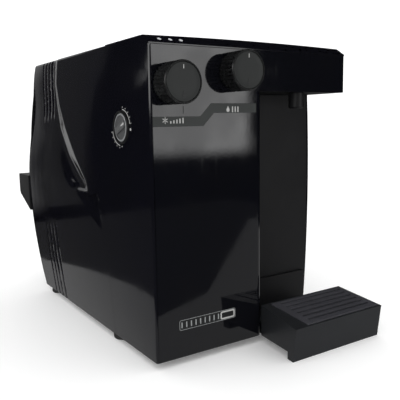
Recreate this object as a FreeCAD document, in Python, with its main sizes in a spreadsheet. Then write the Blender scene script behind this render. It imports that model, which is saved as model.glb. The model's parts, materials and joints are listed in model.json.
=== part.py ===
import FreeCAD, Part
import math
import os
import Sketcher
from FreeCAD import Vector

# Countertop water cooler with a cup bay, two rotary taps, a thermostat dial and a drip tray.
# Frame: +Z up, +X to the right seen from the front, -Y towards the user.
# Origin: on the counter, centred between the side walls and between the front and rear edges.

doc = FreeCAD.newDocument("WaterCooler")
sheet = doc.addObject("Spreadsheet::Sheet", "Sizes")

# Every driving dimension in millimetres: alias, value, meaning.
DIMENSIONS = (
    ("body_width", 314.0, "side wall to side wall at the front edge"),
    ("body_depth", 416.0, "front panel to rear edge of the casing"),
    ("body_height", 400.0, "counter to the top corners"),
    ("foot_height", 10.0, "underside of the casing above the counter"),
    ("wall", 2.6, "casing wall"),
    ("seam_depth", 118.0, "front panel to the joint between the two shells"),
    ("seam_gap", 0.4, "open joint between the two shells"),
    ("front_swell", 0.6, "side bulge at the front edge"),
    ("seam_swell", 10.0, "side bulge at the joint"),
    ("rear_swell", 13.0, "side bulge over the rear half"),
    ("crown", 2.5, "rise of the top across its width"),
    ("back_bow", 25.0, "rearward bow of the back"),
    ("bevel_run", 14.5, "depth of the bevel along the top front edge"),
    ("bevel_drop", 9.3, "height of that bevel"),
    ("strip_thickness", 2.0, "control strip laid on the bevel"),
    ("lens_inset", 18.0, "left casing edge to the first indicator"),
    ("lens_pitch", 14.5, "indicator spacing"),
    ("lens_radius", 2.4, "indicator lens"),
    ("panel_width", 165.0, "left casing edge to the cup bay"),
    ("panel_thickness", 3.0, "glossy front panel"),
    ("panel_round", 10.0, "outer radius where the panel turns into the bay"),
    ("panel_return", 14.0, "how far the panel wraps back into the bay"),
    ("fit_gap", 0.2, "clearance between neighbouring mouldings"),
    ("bay_depth", 78.0, "front panel to the back wall of the bay"),
    ("head_drop", 62.0, "top corners to the underside of the head"),
    ("liner_wall", 2.5, "bay lining and head soffit"),
    ("base_thickness", 3.0, "base plate"),
    ("plinth_top", 62.0, "counter to the top of the bay plinth"),
    ("plinth_thickness", 5.0, "plinth in front of the bay wall"),
    ("plinth_inset", 4.0, "plinth end short of the casing side"),
    ("ribbon_thickness", 0.6, "marking ribbon on the panel"),
    ("ribbon_height", 11.5, "height of the ribbon"),
    ("ribbon_drop", 104.5, "top corners to the lower edge of the ribbon's left half"),
    ("ribbon_step", 15.5, "rise between the ribbon halves"),
    ("ribbon_turn", 72.0, "left casing edge to the slanted step"),
    ("ribbon_end", 1.5, "ribbon end short of the bay edge"),
    ("badge_width", 85.5, "blank badge on the panel"),
    ("badge_height", 13.0, "height of the badge"),
    ("badge_left", 32.4, "left casing edge to the badge"),
    ("badge_low", 45.0, "counter to the lower edge of the badge"),
    ("knob_radius", 24.5, "tap knob"),
    ("knob_length", 29.7, "panel to the face of a knob"),
    ("knob_lift", 1.2, "gap behind a knob"),
    ("knob_wall", 2.5, "wall of the hollow knob"),
    ("knob_cap_radius", 22.4, "cap set into the face of a knob"),
    ("knob_cap_thickness", 1.2, "cap set into the face of a knob"),
    ("hub_radius", 7.0, "hub inside a knob"),
    ("flute_radius", 1.1, "flute of the knurled barrel"),
    ("cold_knob_inset", 27.5, "left casing edge to the chilled tap"),
    ("cold_knob_drop", 54.9, "top corners to the chilled tap"),
    ("room_knob_inset", 119.3, "left casing edge to the natural tap"),
    ("room_knob_drop", 39.0, "top corners to the natural tap"),
    ("stem_radius", 3.0, "tap stem"),
    ("stem_play", 0.05, "radial clearance of a stem"),
    ("nose_radius", 6.0, "threaded nose of a tap"),
    ("tap_radius", 9.0, "body of a tap"),
    ("tap_length", 34.0, "body of a tap behind the panel"),
    ("nut_radius", 9.0, "lock nut, across corners"),
    ("nut_thickness", 2.6, "lock nut"),
    ("barb_radius", 3.4, "hose barb"),
    ("barb_length", 12.0, "hose barb"),
    ("dial_inset", 67.0, "front panel to the thermostat dial axis"),
    ("dial_drop", 105.0, "top corners to the thermostat dial axis"),
    ("dial_radius", 17.8, "thermostat dial"),
    ("dial_proud", 7.5, "dial face outside the casing edge plane"),
    ("dial_thickness", 6.0, "thermostat dial"),
    ("pointer_angle", 35.0, "tilt of the dial's pointer at rest, in degrees"),
    ("bezel_gap", 0.4, "radial clearance between dial and bezel"),
    ("bezel_wall", 2.4, "thermostat bezel"),
    ("bezel_depth", 12.0, "thermostat bezel"),
    ("spout_inset", 237.0, "left casing edge to the spout axis"),
    ("spout_depth", 15.5, "front panel to the spout axis"),
    ("spout_radius", 10.5, "outside of the spout"),
    ("spout_bore", 4.0, "bore of the spout"),
    ("spout_drop", 22.0, "head underside to the tip of the spout"),
    ("spout_lean", 8.0, "forward lean of the spout's bore, in degrees"),
    ("tray_reach", 80.0, "front panel to the front of the tray"),
    ("tray_overlap", 13.5, "tray reaches left of the bay edge"),
    ("tray_width", 159.0, "front of the tray"),
    ("tray_taper", 10.0, "left side of the tray closes in towards the rear"),
    ("tray_front_height", 44.5, "top of the tray at the front"),
    ("tray_back_height", 52.5, "top of the tray at the rear"),
    ("tray_lean", 5.5, "front face leans forward at the top"),
    ("tray_lip", 12.0, "depth of the front foot of the tray"),
    ("tray_clear", 10.0, "underside of the tray behind its foot"),
    ("tray_wall", 2.4, "wall of the tray"),
    ("tray_gap", 0.8, "tray to front panel"),
    ("tray_ledge", 25.0, "flat ledge left of the grille"),
    ("tongue_depth", 46.0, "rear tongue of the tray inside the bay"),
    ("tongue_thickness", 3.0, "rear tongue of the tray"),
    ("tongue_width", 110.0, "rear tongue of the tray"),
    ("rail_width", 4.4, "guide beside the tongue"),
    ("grille_gap", 0.5, "grille to tray"),
    ("grille_rim", 3.0, "tray rim round the grille"),
    ("grille_thickness", 3.4, "drip grille"),
    ("slot_margin", 12.0, "grille edge to the slots on the left"),
    ("slot_length", 113.0, "drip slots"),
    ("slot_width", 4.2, "drip slots"),
    ("slot_pitch", 10.6, "drip slots"),
    ("slot_first", 15.0, "tray front to the first slot"),
    ("screw_radius", 1.9, "casing screw"),
    ("screw_head_radius", 3.8, "casing screw"),
    ("foot_radius", 15.0, "rubber foot"),
    ("foot_inset_side", 17.0, "casing side to a foot axis"),
    ("foot_inset_front", 127.0, "front panel to the axis of a front foot"),
    ("foot_inset_rear", 26.0, "rear edge to the axis of a rear foot"),
    ("spacer_depth", 60.0, "rear spacer beyond the bowed back"),
    ("spacer_top", 208.0, "counter to the top of the spacer"),
    ("spacer_nose", 38.0, "height of the spacer's rear face"),
    ("spacer_height", 79.0, "spacer against the back"),
    ("spacer_wall", 3.0, "wall of the spacer"),
    ("spacer_seat", 4.0, "inner part of the spacer beyond the casing side's foot line"),
    ("spacer_overhang", 15.0, "outer part of the spacer beyond the casing side's foot line"),
    ("back_screw_level", 224.0, "counter to the screws of the back cover"),
    ("back_screw_inset", 16.0, "casing side to an outer screw of the back cover"),
    ("back_screw_inner", 110.0, "casing side to an inner screw of the back cover"),
    ("back_recess", 4.0, "back cover sits inside the rear edge"),
    ("louvre_length", 48.0, "cooling slot in the back cover"),
    ("louvre_width", 4.0, "cooling slot in the back cover"),
    ("louvre_pitch", 9.0, "cooling slots, one above the other"),
    ("louvre_low", 240.0, "counter to the lowest cooling slot"),
    ("louvre_inset", 130.0, "right casing side to the cooling slots"),
    ("tank_radius", 52.0, "cold tank"),
    ("tank_height", 150.0, "cold tank"),
    ("tank_drop", 50.0, "top corners to the rim of the tank"),
    ("tank_x", -70.0, "tank axis"),
    ("tank_y", 60.0, "tank axis"),
    ("coil_tube", 4.0, "evaporator tube radius"),
    ("foam_wall", 14.0, "insulation round the tank"),
    ("compressor_radius", 58.0, "compressor can"),
    ("compressor_height", 150.0, "compressor can"),
    ("compressor_wall", 3.2, "wall of the compressor can"),
    ("motor_radius", 34.0, "motor block inside the can"),
    ("compressor_x", 75.0, "compressor axis"),
    ("compressor_y", 108.0, "compressor axis"),
    ("mount_height", 9.0, "rubber mounts under the compressor"),
    ("condenser_tube", 2.5, "condenser tube radius"),
    ("condenser_low", 84.0, "counter to the lowest condenser run"),
    ("condenser_drop", 64.0, "top corners to the highest condenser run"),
    ("condenser_inset", 52.0, "casing side to the condenser bends"),
    ("filter_radius", 31.0, "filter cartridge"),
    ("filter_drop", 143.0, "top corners to the top of the filter cartridge"),
    ("filter_inset", 80.0, "bay edge to the filter axis"),
    ("filter_depth", 42.0, "front panel to the filter axis"),
    ("hose_radius", 3.1, "internal water hose"),
    ("inlet_bore", 3.2, "bore of the water inlet port"),
    ("inlet_length", 18.0, "depth of the water inlet port"),
    ("inlet_radius", 9.0, "barrel of the water inlet port"),
    ("inlet_level", 60.0, "counter to the water inlet port and the power gland"),
    ("inlet_inset", 60.0, "left casing side to the water inlet port"),
    ("gland_inset", 105.0, "left casing side to the power gland"),
    ("gland_radius", 8.0, "barrel of the power gland"),
    ("gland_collar", 10.5, "collar of the power gland"),
    ("gland_bore", 3.6, "bore of the power gland"),
)

for row, (alias, number, meaning) in enumerate(DIMENSIONS, start=1):
    sheet.set("A%d" % row, alias)
    sheet.set("B%d" % row, str(number))
    sheet.set("C%d" % row, meaning)
    sheet.setAlias("B%d" % row, alias)
doc.recompute()


class Size:
    """A length that knows both its number and the sheet formula that drives it."""

    def __init__(self, text, number):
        self.text = text
        self.number = float(number)

    def joined(self, sign, other, number, swapped=False):
        left, right = (other, self) if swapped else (self, other)
        return Size("(%s %s %s)" % (formula(left), sign, formula(right)), number)

    def __add__(self, other):
        return self.joined("+", other, self.number + plain(other))

    __radd__ = __add__

    def __sub__(self, other):
        return self.joined("-", other, self.number - plain(other))

    def __rsub__(self, other):
        return self.joined("-", other, plain(other) - self.number, swapped=True)

    def __mul__(self, other):
        return self.joined("*", other, self.number * plain(other))

    __rmul__ = __mul__

    def __truediv__(self, other):
        return self.joined("/", other, self.number / plain(other))

    def __neg__(self):
        return Size("(0 - %s)" % self.text, -self.number)


def plain(size):
    return size.number if isinstance(size, Size) else float(size)


def formula(size):
    return size.text if isinstance(size, Size) else repr(float(size))


class Sheet:
    """Named access to the driving dimensions."""


s = Sheet()
for alias, number, meaning in DIMENSIONS:
    setattr(s, alias, Size("Sizes.%s" % alias, sheet.get(alias)))

LEFT = -s.body_width / 2
RIGHT = s.body_width / 2
FRONT = -s.body_depth / 2
BACK = s.body_depth / 2
SEAM = FRONT + s.seam_depth
BAY_X = LEFT + s.panel_width
BAY_Y = FRONT + s.bay_depth
BASE_TOP = s.foot_height + s.base_thickness
PEAK = s.body_height + s.crown
HEAD_UNDER = s.body_height - s.head_drop
RIBBON_LOW = s.body_height - s.ribbon_drop
COLD_LEVEL = s.body_height - s.cold_knob_drop
ROOM_LEVEL = s.body_height - s.room_knob_drop
DIAL_LEVEL = s.body_height - s.dial_drop
FILTER_X = BAY_X - s.filter_inset
FILTER_Y = FRONT + s.filter_depth
TANK_TOP = s.body_height - s.tank_drop
TANK_LOW = TANK_TOP - s.tank_height

TURN_X = FreeCAD.Rotation(Vector(0, 1, 0), 90)
TURN_LEFT = FreeCAD.Rotation(Vector(0, 1, 0), -90)
TURN_BACK = FreeCAD.Rotation(Vector(1, 0, 0), -90)
TURN_FRONT = FreeCAD.Rotation(Vector(1, 0, 0), 90)
UPRIGHT = FreeCAD.Rotation()


# ---------------------------------------------------------------- building blocks

def bind(item, prop, size):
    """Set a property, through the sheet when the size comes from it."""
    if isinstance(size, Size):
        item.setExpression(prop, size.text)
    else:
        setattr(item, prop, size)


def place(item, x, y, z, turn=UPRIGHT):
    item.Placement = FreeCAD.Placement(Vector(plain(x), plain(y), plain(z)), turn)
    for axis, size in (("x", x), ("y", y), ("z", z)):
        if isinstance(size, Size):
            item.setExpression("Placement.Base." + axis, size.text)
    return item


def box(name, x0, x1, y0, y1, z0, z1):
    """A block between two corners."""
    item = doc.addObject("Part::Box", name)
    bind(item, "Length", x1 - x0)
    bind(item, "Width", y1 - y0)
    bind(item, "Height", z1 - z0)
    return place(item, x0, y0, z0)


def rod(name, radius, length, x, y, z, turn=UPRIGHT):
    """A round bar that starts at a point and runs along the turned Z axis."""
    item = doc.addObject("Part::Cylinder", name)
    bind(item, "Radius", radius)
    bind(item, "Height", length)
    return place(item, x, y, z, turn)


def torus(name, ring, tube, x, y, z):
    item = doc.addObject("Part::Torus", name)
    bind(item, "Radius1", ring)
    bind(item, "Radius2", tube)
    return place(item, x, y, z)


def joined(name, items):
    item = doc.addObject("Part::MultiFuse", name)
    item.Shapes = items
    return item


def shared(name, items):
    item = doc.addObject("Part::MultiCommon", name)
    item.Shapes = items
    return item


def group(name, items):
    item = doc.addObject("Part::Compound", name)
    item.Links = items
    return item


def cut(name, base, tools):
    item = doc.addObject("Part::Cut", name)
    item.Base = base
    item.Tool = tools[0] if len(tools) == 1 else joined(name + "_tools", tools)
    return item


def outline(sketch, points):
    """Draw a closed outline. A point is (across, up) or (across, up, rise), where rise bows the
    edge that starts there outwards, to the right of its direction."""
    corners = [Vector(plain(point[0]), plain(point[1]), 0) for point in points]
    count = len(points)
    spans = []
    for index, point in enumerate(points):
        start = corners[index]
        end = corners[(index + 1) % count]
        if len(point) == 2:
            sketch.addGeometry(Part.LineSegment(start, end), False)
            spans.append((1, 2))
            continue
        along = end - start
        aside = Vector(along.y, -along.x, 0).normalize() * plain(point[2])
        arc = Part.Arc(start, (start + end) * 0.5 + aside, end)
        sketch.addGeometry(arc, False)
        first = sketch.getPoint(index, 1)
        spans.append((1, 2) if (first - start).Length < (first - end).Length else (2, 1))
    for index in range(count):
        following = (index + 1) % count
        sketch.addConstraint(Sketcher.Constraint(
            "Coincident", index, spans[index][1], following, spans[following][0]))
    for index, point in enumerate(points):
        for kind, size in (("DistanceX", point[0]), ("DistanceY", point[1])):
            number = sketch.addConstraint(Sketcher.Constraint(
                kind, -1, 1, index, spans[index][0], plain(size)))
            if isinstance(size, Size):
                sketch.setExpression("Constraints[%d]" % number, size.text)
    for index, point in enumerate(points):
        if len(point) == 3:
            start = points[index]
            end = points[(index + 1) % count]
            bow = arc_radius(start, end, point[2])
            number = sketch.addConstraint(Sketcher.Constraint("Radius", index, plain(bow)))
            if isinstance(bow, Size):
                sketch.setExpression("Constraints[%d]" % number, bow.text)
    return sketch


def arc_radius(start, end, rise):
    """Radius of the arc over a chord with a given rise, from the chord's two legs."""
    across = end[0] - start[0]
    up = end[1] - start[1]
    if plain(rise) < 0:
        rise = -rise
    return (across * across + up * up) / (8 * rise) + rise / 2


def drawing(name, points, turn=UPRIGHT, x=0, y=0, z=0):
    return place(outline(doc.addObject("Sketcher::SketchObject", name), points), x, y, z, turn)


def slab(name, points, x0, x1):
    """A side-view outline (depth, height) run along X."""
    item = doc.addObject("Part::Extrusion", name)
    side_view = FreeCAD.Rotation(Vector(0, 1, 0), Vector(0, 0, 1), Vector(1, 0, 0), "ZXY")
    item.Base = drawing(name + "_outline", points, side_view, x=x0)
    item.DirMode = "Custom"
    item.Dir = Vector(1, 0, 0)
    bind(item, "LengthFwd", x1 - x0)
    item.Solid = True
    return item


def plate(name, points, z0, z1):
    """A plan outline run upwards."""
    item = doc.addObject("Part::Extrusion", name)
    item.Base = drawing(name + "_outline", points, z=z0)
    item.DirMode = "Custom"
    item.Dir = Vector(0, 0, 1)
    bind(item, "LengthFwd", z1 - z0)
    item.Solid = True
    return item


def sheet_front(name, points, y0, y1):
    """A front-view outline (across, height) run backwards."""
    item = doc.addObject("Part::Extrusion", name)
    item.Base = drawing(name + "_outline", points, TURN_FRONT, y=y0)
    item.DirMode = "Custom"
    item.Dir = Vector(0, 1, 0)
    bind(item, "LengthFwd", y1 - y0)
    item.Solid = True
    return item


def turned(name, points, x, y, z, turn=UPRIGHT):
    """A lathe-turned piece: (radius, height) outline turned round its own axis."""
    body = doc.addObject("PartDesign::Body", name)
    sketch = body.newObject("Sketcher::SketchObject", name + "_section")
    plane = [item for item in body.Origin.OriginFeatures if item.Role == "XZ_Plane"][0]
    sketch.AttachmentSupport = (plane, [""])
    sketch.MapMode = "FlatFace"
    outline(sketch, points)
    turn_feature = body.newObject("PartDesign::Revolution", name + "_turned")
    turn_feature.Profile = sketch
    turn_feature.ReferenceAxis = (sketch, ["V_Axis"])
    turn_feature.Angle = 360
    place(body, x, y, z, turn)
    return body


def tube(name, radius, points, bend):
    """A hose along straight runs joined by tangent arcs."""
    corners = [Vector(*[plain(value) for value in point]) for point in points]
    radius = plain(radius)
    edges = []
    start = corners[0]
    for before, corner, after in zip(corners, corners[1:], corners[2:]):
        inward = (before - corner).normalize()
        outward = (after - corner).normalize()
        half = inward.getAngle(outward) / 2
        reach = bend / math.tan(half)
        first = corner + inward * reach
        last = corner + outward * reach
        middle = corner + (inward + outward).normalize() * (bend / math.sin(half) - bend)
        edges.append(Part.LineSegment(start, first).toShape())
        edges.append(Part.Arc(first, middle, last).toShape())
        start = last
    edges.append(Part.LineSegment(start, corners[-1]).toShape())
    path = Part.Wire(edges)
    ring = Part.Wire([Part.makeCircle(radius, corners[0], corners[1] - corners[0])])
    item = doc.addObject("Part::Feature", name)
    item.Shape = path.makePipeShell([ring], True, False)
    return item


# ---------------------------------------------------------------- casing

def section(name, y, swell, inset, bottom, top):
    """Cross-section of the casing: flat bottom, bowed sides, crowned top."""
    side = RIGHT - inset
    return drawing(name, [(-side, bottom), (side, bottom, swell), (side, top, s.crown),
                          (-side, top, swell)], TURN_FRONT, y=y)


def casing_form(name, inset, bottom, top):
    """The casing lofted from the front edge to behind the rear edge."""
    loft = doc.addObject("Part::Loft", name)
    loft.Sections = [
        section(name + "_front", FRONT, s.front_swell, inset, bottom, top),
        section(name + "_seam", SEAM, s.seam_swell, inset, bottom, top),
        section(name + "_middle", BACK / 2, s.rear_swell, inset, bottom, top),
        section(name + "_rear", BACK + s.back_bow, s.rear_swell, inset, bottom, top),
    ]
    loft.Solid = True
    return loft


def bevel_at(height):
    """Depth at which the bevel plane reaches a height."""
    return FRONT + s.bevel_run * (height - s.body_height + s.bevel_drop) / s.bevel_drop


BEVEL_FOOT = s.body_height - s.bevel_drop
side_limit = slab("side_limit", [
    (FRONT, s.foot_height), (BACK, s.foot_height, s.back_bow), (BACK, PEAK), (bevel_at(PEAK), PEAK),
    (FRONT, BEVEL_FOOT)], LEFT - 30, RIGHT + 30)
casing = shared("casing", [
    casing_form("casing_outside", 0, s.foot_height, s.body_height), side_limit])
INNER_TOP = s.body_height - s.wall


def casing_inside(name, gap):
    """The space within the casing walls, with a clearance, open at the bottom, front and rear."""
    return casing_form(name, s.wall + gap, s.foot_height - 1, INNER_TOP - gap)


strip_bed = slab("strip_bed", [
    (FRONT - 1, BEVEL_FOOT - s.strip_thickness), (FRONT + s.strip_thickness, BEVEL_FOOT - s.strip_thickness),
    (bevel_at(PEAK) + s.strip_thickness, PEAK - s.strip_thickness), (bevel_at(PEAK) + s.strip_thickness, PEAK + 1),
    (FRONT - 1, PEAK + 1)], LEFT - 20, RIGHT + 20)
dial_y = FRONT + s.dial_inset
bezel_radius = s.dial_radius + s.bezel_gap + s.bezel_wall
front_shell = cut("front_shell", shared("front_part", [
    casing, box("front_slab", LEFT - 30, RIGHT + 30, FRONT, SEAM - s.seam_gap, 0, PEAK + 5)]), [
    casing_inside("front_hollow", 0),
    strip_bed,
    box("bay_cut", BAY_X - s.liner_wall, RIGHT + 30, FRONT - 1, BAY_Y, 0, HEAD_UNDER),
    rod("bezel_hole", bezel_radius + s.fit_gap, 40, LEFT - 25, dial_y, DIAL_LEVEL, TURN_X),
])

rear_shell = cut("rear_shell", shared("rear_part", [
    casing, box("rear_slab", LEFT - 30, RIGHT + 30, SEAM, BACK + 60, 0, PEAK + 5)]), [
    casing_inside("rear_hollow", 0)])


def back_slab(name, near, far):
    """A layer parallel to the bowed back, between two distances inside it."""
    low = s.foot_height + 1
    high = PEAK - 1
    return slab(name, [
        (BACK - far, low), (BACK - near, low, s.back_bow), (BACK - near, high), (BACK - far, high, -s.back_bow)],
        LEFT - 30, RIGHT + 30)


def back_at(level):
    """Depth of the casing's bowed rear edge at a level, as a shallow parabola."""
    middle = (s.foot_height + PEAK) / 2
    share = (level - middle) / (PEAK - middle)
    return BACK + s.back_bow * (1 - share * share)


back_screw_places = (LEFT + s.back_screw_inset, LEFT + s.back_screw_inner, RIGHT - s.back_screw_inner,
                     RIGHT - s.back_screw_inset)
port_x = LEFT + s.inlet_inset
gland_x = LEFT + s.gland_inset
louvre_cuts = []
for column in range(2):
    for level in range(7):
        louvre_x = RIGHT - s.louvre_inset + column * (s.louvre_length + 8)
        louvre_z = s.louvre_low + level * s.louvre_pitch
        louvre_cuts.append(box("louvre_%d_%d" % (column + 1, level + 1), louvre_x, louvre_x + s.louvre_length,
                               BACK - 12, BACK + 40, louvre_z, louvre_z + s.louvre_width))
back_cover = cut("back_cover", shared("back_part", [
    casing_inside("back_space", s.fit_gap), back_slab("back_layer", s.back_recess, s.back_recess + s.wall)]),
    louvre_cuts + [
        rod("back_hole_%d" % (index + 1), s.screw_radius + 0.1, 60, x, BACK - 30, s.back_screw_level, TURN_BACK)
        for index, x in enumerate(back_screw_places)] + [
        rod("port_hole", s.inlet_radius + s.fit_gap, 60, port_x, BACK - 30, s.inlet_level, TURN_BACK),
        rod("gland_hole", s.gland_radius + s.fit_gap, 60, gland_x, BACK - 30, s.inlet_level, TURN_BACK)])

# The spacer is a hollow wedge that keeps the back clear of the wall.
spacer_base = s.spacer_top - s.spacer_height
spacer_face = BACK + s.back_bow


def wedge(name, shrink, overhang):
    """The spacer's outline, or with a shrink the hollow inside its walls."""
    reach = spacer_face + s.spacer_depth - shrink
    nose_low = s.spacer_top - s.spacer_nose
    high = s.spacer_top - shrink
    end = s.body_width / 2 + overhang - shrink
    return slab(name, [
        (BACK - 10, spacer_base + shrink * 1.5), (reach - 4, nose_low), (reach, nose_low + 6), (reach, high),
        (BACK - 10, high)], -end, end)


seat_end = s.body_width / 2 + s.spacer_seat
rear_spacer = cut("rear_spacer", wedge("spacer_form", 0, s.spacer_overhang), [
    wedge("spacer_hollow", s.spacer_wall, s.spacer_seat), back_slab("spacer_trim", s.back_recess - 0.05, 60),
    box("spacer_clear_left", -seat_end - 40, -seat_end, BACK - 30, spacer_face + s.fit_gap, 0, PEAK),
    box("spacer_clear_right", seat_end, seat_end + 40, BACK - 30, spacer_face + s.fit_gap, 0, PEAK)])

# ---------------------------------------------------------------- front panel and control strip

edge = LEFT + s.wall + s.fit_gap
panel_bend = s.panel_round - s.panel_thickness
quarter = math.sqrt(0.5)


def corner_rise(radius):
    """Rise of a quarter-circle arc over its chord."""
    return radius * (1 - quarter)


panel_left = plate("panel_left", [
    (edge, FRONT), (BAY_X - s.panel_round, FRONT, corner_rise(s.panel_round)),
    (BAY_X, FRONT + s.panel_round), (BAY_X, FRONT + s.panel_return),
    (BAY_X - s.panel_thickness, FRONT + s.panel_return),
    (BAY_X - s.panel_thickness, FRONT + s.panel_round, -corner_rise(panel_bend)),
    (BAY_X - s.panel_round, FRONT + s.panel_thickness), (edge, FRONT + s.panel_thickness)],
    s.foot_height, HEAD_UNDER)
panel_top = box("panel_top", edge, RIGHT - s.wall - s.fit_gap, FRONT, FRONT + s.panel_thickness,
                HEAD_UNDER, BEVEL_FOOT - s.strip_thickness - s.fit_gap)
cold_x = LEFT + s.cold_knob_inset
room_x = LEFT + s.room_knob_inset
nose_hole = s.nose_radius + s.fit_gap


def ribbon_points(grow):
    """The marking ribbon: two level bands joined by a slanted step."""
    low = RIBBON_LOW - grow
    high = RIBBON_LOW + s.ribbon_height + grow
    turn = LEFT + s.ribbon_turn
    start = edge - grow * 10
    end = BAY_X - s.panel_round - s.ribbon_end + grow
    return [(start, low), (turn + grow, low), (turn + s.ribbon_step + grow, low + s.ribbon_step),
            (end, low + s.ribbon_step), (end, high + s.ribbon_step), (turn + s.ribbon_step - 4, high + s.ribbon_step),
            (turn - 4, high), (start, high)]


front_panel = cut("front_panel", joined("panel_form", [panel_left, panel_top]), [
    rod("cold_hole", nose_hole, 20, cold_x, FRONT - 5, COLD_LEVEL, TURN_BACK),
    rod("room_hole", nose_hole, 20, room_x, FRONT - 5, ROOM_LEVEL, TURN_BACK),
    sheet_front("ribbon_bed", ribbon_points(0.1), FRONT - 1, FRONT + s.ribbon_thickness),
    box("badge_bed", LEFT + s.badge_left - 0.1, LEFT + s.badge_left + s.badge_width + 0.1, FRONT - 1,
        FRONT + s.ribbon_thickness, s.badge_low - 0.1, s.badge_low + s.badge_height + 0.1)])
label_ribbon = sheet_front("label_ribbon", ribbon_points(0), FRONT - 0.1, FRONT + s.ribbon_thickness - 0.02)
badge_plate = box("badge_plate", LEFT + s.badge_left, LEFT + s.badge_left + s.badge_width, FRONT - 0.1,
                  FRONT + s.ribbon_thickness - 0.02, s.badge_low, s.badge_low + s.badge_height)

strip_gap = s.strip_thickness - 0.1
bevel_tilt = math.atan2(plain(s.bevel_drop), plain(s.bevel_run))
ON_BEVEL = FreeCAD.Rotation(Vector(1, 0, 0), math.degrees(bevel_tilt))


def lens_rods(name, radius, sunk, length):
    """Round bars square to the bevel, one for each indicator."""
    rods = []
    for index in range(3):
        rods.append(rod("%s_%d" % (name, index + 1), radius, length, LEFT + s.lens_inset + index * s.lens_pitch,
                        FRONT + s.bevel_run / 2 + sunk * math.sin(bevel_tilt),
                        s.body_height - s.bevel_drop / 2 - sunk * math.cos(bevel_tilt), ON_BEVEL))
    return rods


control_strip = cut("control_strip", shared("strip_form", [
    slab("strip_layer", [
        (FRONT + 0.1, BEVEL_FOOT - strip_gap), (FRONT + strip_gap, BEVEL_FOOT - strip_gap),
        (bevel_at(PEAK) + strip_gap, PEAK - strip_gap), (bevel_at(PEAK) + strip_gap, PEAK + 1), (FRONT + 0.1, PEAK + 1)],
        LEFT - 20, RIGHT + 20),
    casing]), lens_rods("lens_pocket", s.lens_radius + 0.1, 1.2, 5))
indicator_lenses = group("indicator_lenses", lens_rods("lens", s.lens_radius, 1.15, 1.4))

# ---------------------------------------------------------------- cup bay and base

liner_back = box("liner_back", BAY_X - s.liner_wall, RIGHT + 20, BAY_Y, BAY_Y + s.liner_wall, BASE_TOP,
                 HEAD_UNDER - s.fit_gap)
liner_side = box("liner_side", BAY_X - s.liner_wall, BAY_X, FRONT + s.panel_return + s.fit_gap,
                 BAY_Y + s.liner_wall, BASE_TOP, HEAD_UNDER - s.fit_gap)
bay_liner = shared("bay_liner", [
    joined("liner_form", [liner_back, liner_side]), casing_inside("liner_space", s.fit_gap)])
bay_plinth = box("bay_plinth", BAY_X + s.fit_gap, RIGHT - s.plinth_inset, BAY_Y - s.plinth_thickness,
                 BAY_Y - 0.05, BASE_TOP, s.plinth_top)
spout_x = LEFT + s.spout_inset
spout_y = FRONT + s.spout_depth
head_soffit = cut("head_soffit", shared("soffit_part", [
    box("soffit_form", BAY_X - s.liner_wall, RIGHT + 20, FRONT + s.panel_thickness + s.fit_gap,
        BAY_Y + s.liner_wall, HEAD_UNDER, HEAD_UNDER + s.liner_wall),
    casing_inside("soffit_space", s.fit_gap)]), [
    rod("spout_hole", s.spout_radius * 0.7 + s.fit_gap, 20, spout_x, spout_y, HEAD_UNDER - 5)])
screw_places = ((LEFT + 45, BACK - 30), (RIGHT - 45, BACK - 30), (LEFT + 45, FRONT + 40), (LEFT + 45, SEAM + 100),
                (RIGHT - 45, BAY_Y + 50), (RIGHT - 18, SEAM + 100))
base_plate = cut("base_plate", shared("base_part", [
    box("base_form", LEFT - 10, RIGHT + 10, FRONT + s.panel_thickness + s.fit_gap, BACK + 30,
        s.foot_height, BASE_TOP),
    casing_inside("base_space", s.fit_gap),
    slab("base_limit", [(FRONT, 0), (BACK - s.back_recess - s.wall - 1, 0),
                        (BACK - s.back_recess - s.wall - 1, 40), (FRONT, 40)], LEFT - 30, RIGHT + 30)]), [
    box("panel_relief", BAY_X - s.panel_round - s.fit_gap, BAY_X + s.fit_gap, FRONT,
        FRONT + s.panel_return + s.fit_gap, 0, 40)] + [
    rod("base_hole_%d" % (index + 1), s.screw_radius + 0.1, 20, x, y, 0)
    for index, (x, y) in enumerate(screw_places)])

foot_parts = []
for side, foot_x in (("left", LEFT + s.foot_inset_side), ("right", RIGHT - s.foot_inset_side)):
    for end, foot_y in (("front", FRONT + s.foot_inset_front), ("rear", BACK - s.foot_inset_rear)):
        foot_parts.append(turned("foot_%s_%s" % (side, end), [
            (0, 0), (s.foot_radius - 1.5, 0), (s.foot_radius, 1.5), (s.foot_radius, s.foot_height), (0, s.foot_height)],
            foot_x, foot_y, 0))
feet = group("feet", foot_parts)

# ---------------------------------------------------------------- drip tray and grille

tray_left = BAY_X - s.tray_overlap
tray_right = tray_left + s.tray_width
tray_front = FRONT - s.tray_reach
tray_back = FRONT - s.tray_gap


def tray_height(depth, drop=0):
    """Height of the sloping top at a depth behind the tray's front."""
    slope = (s.tray_back_height - s.tray_front_height) / (s.tray_reach - s.tray_gap)
    return s.tray_front_height + depth * slope - drop


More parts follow.
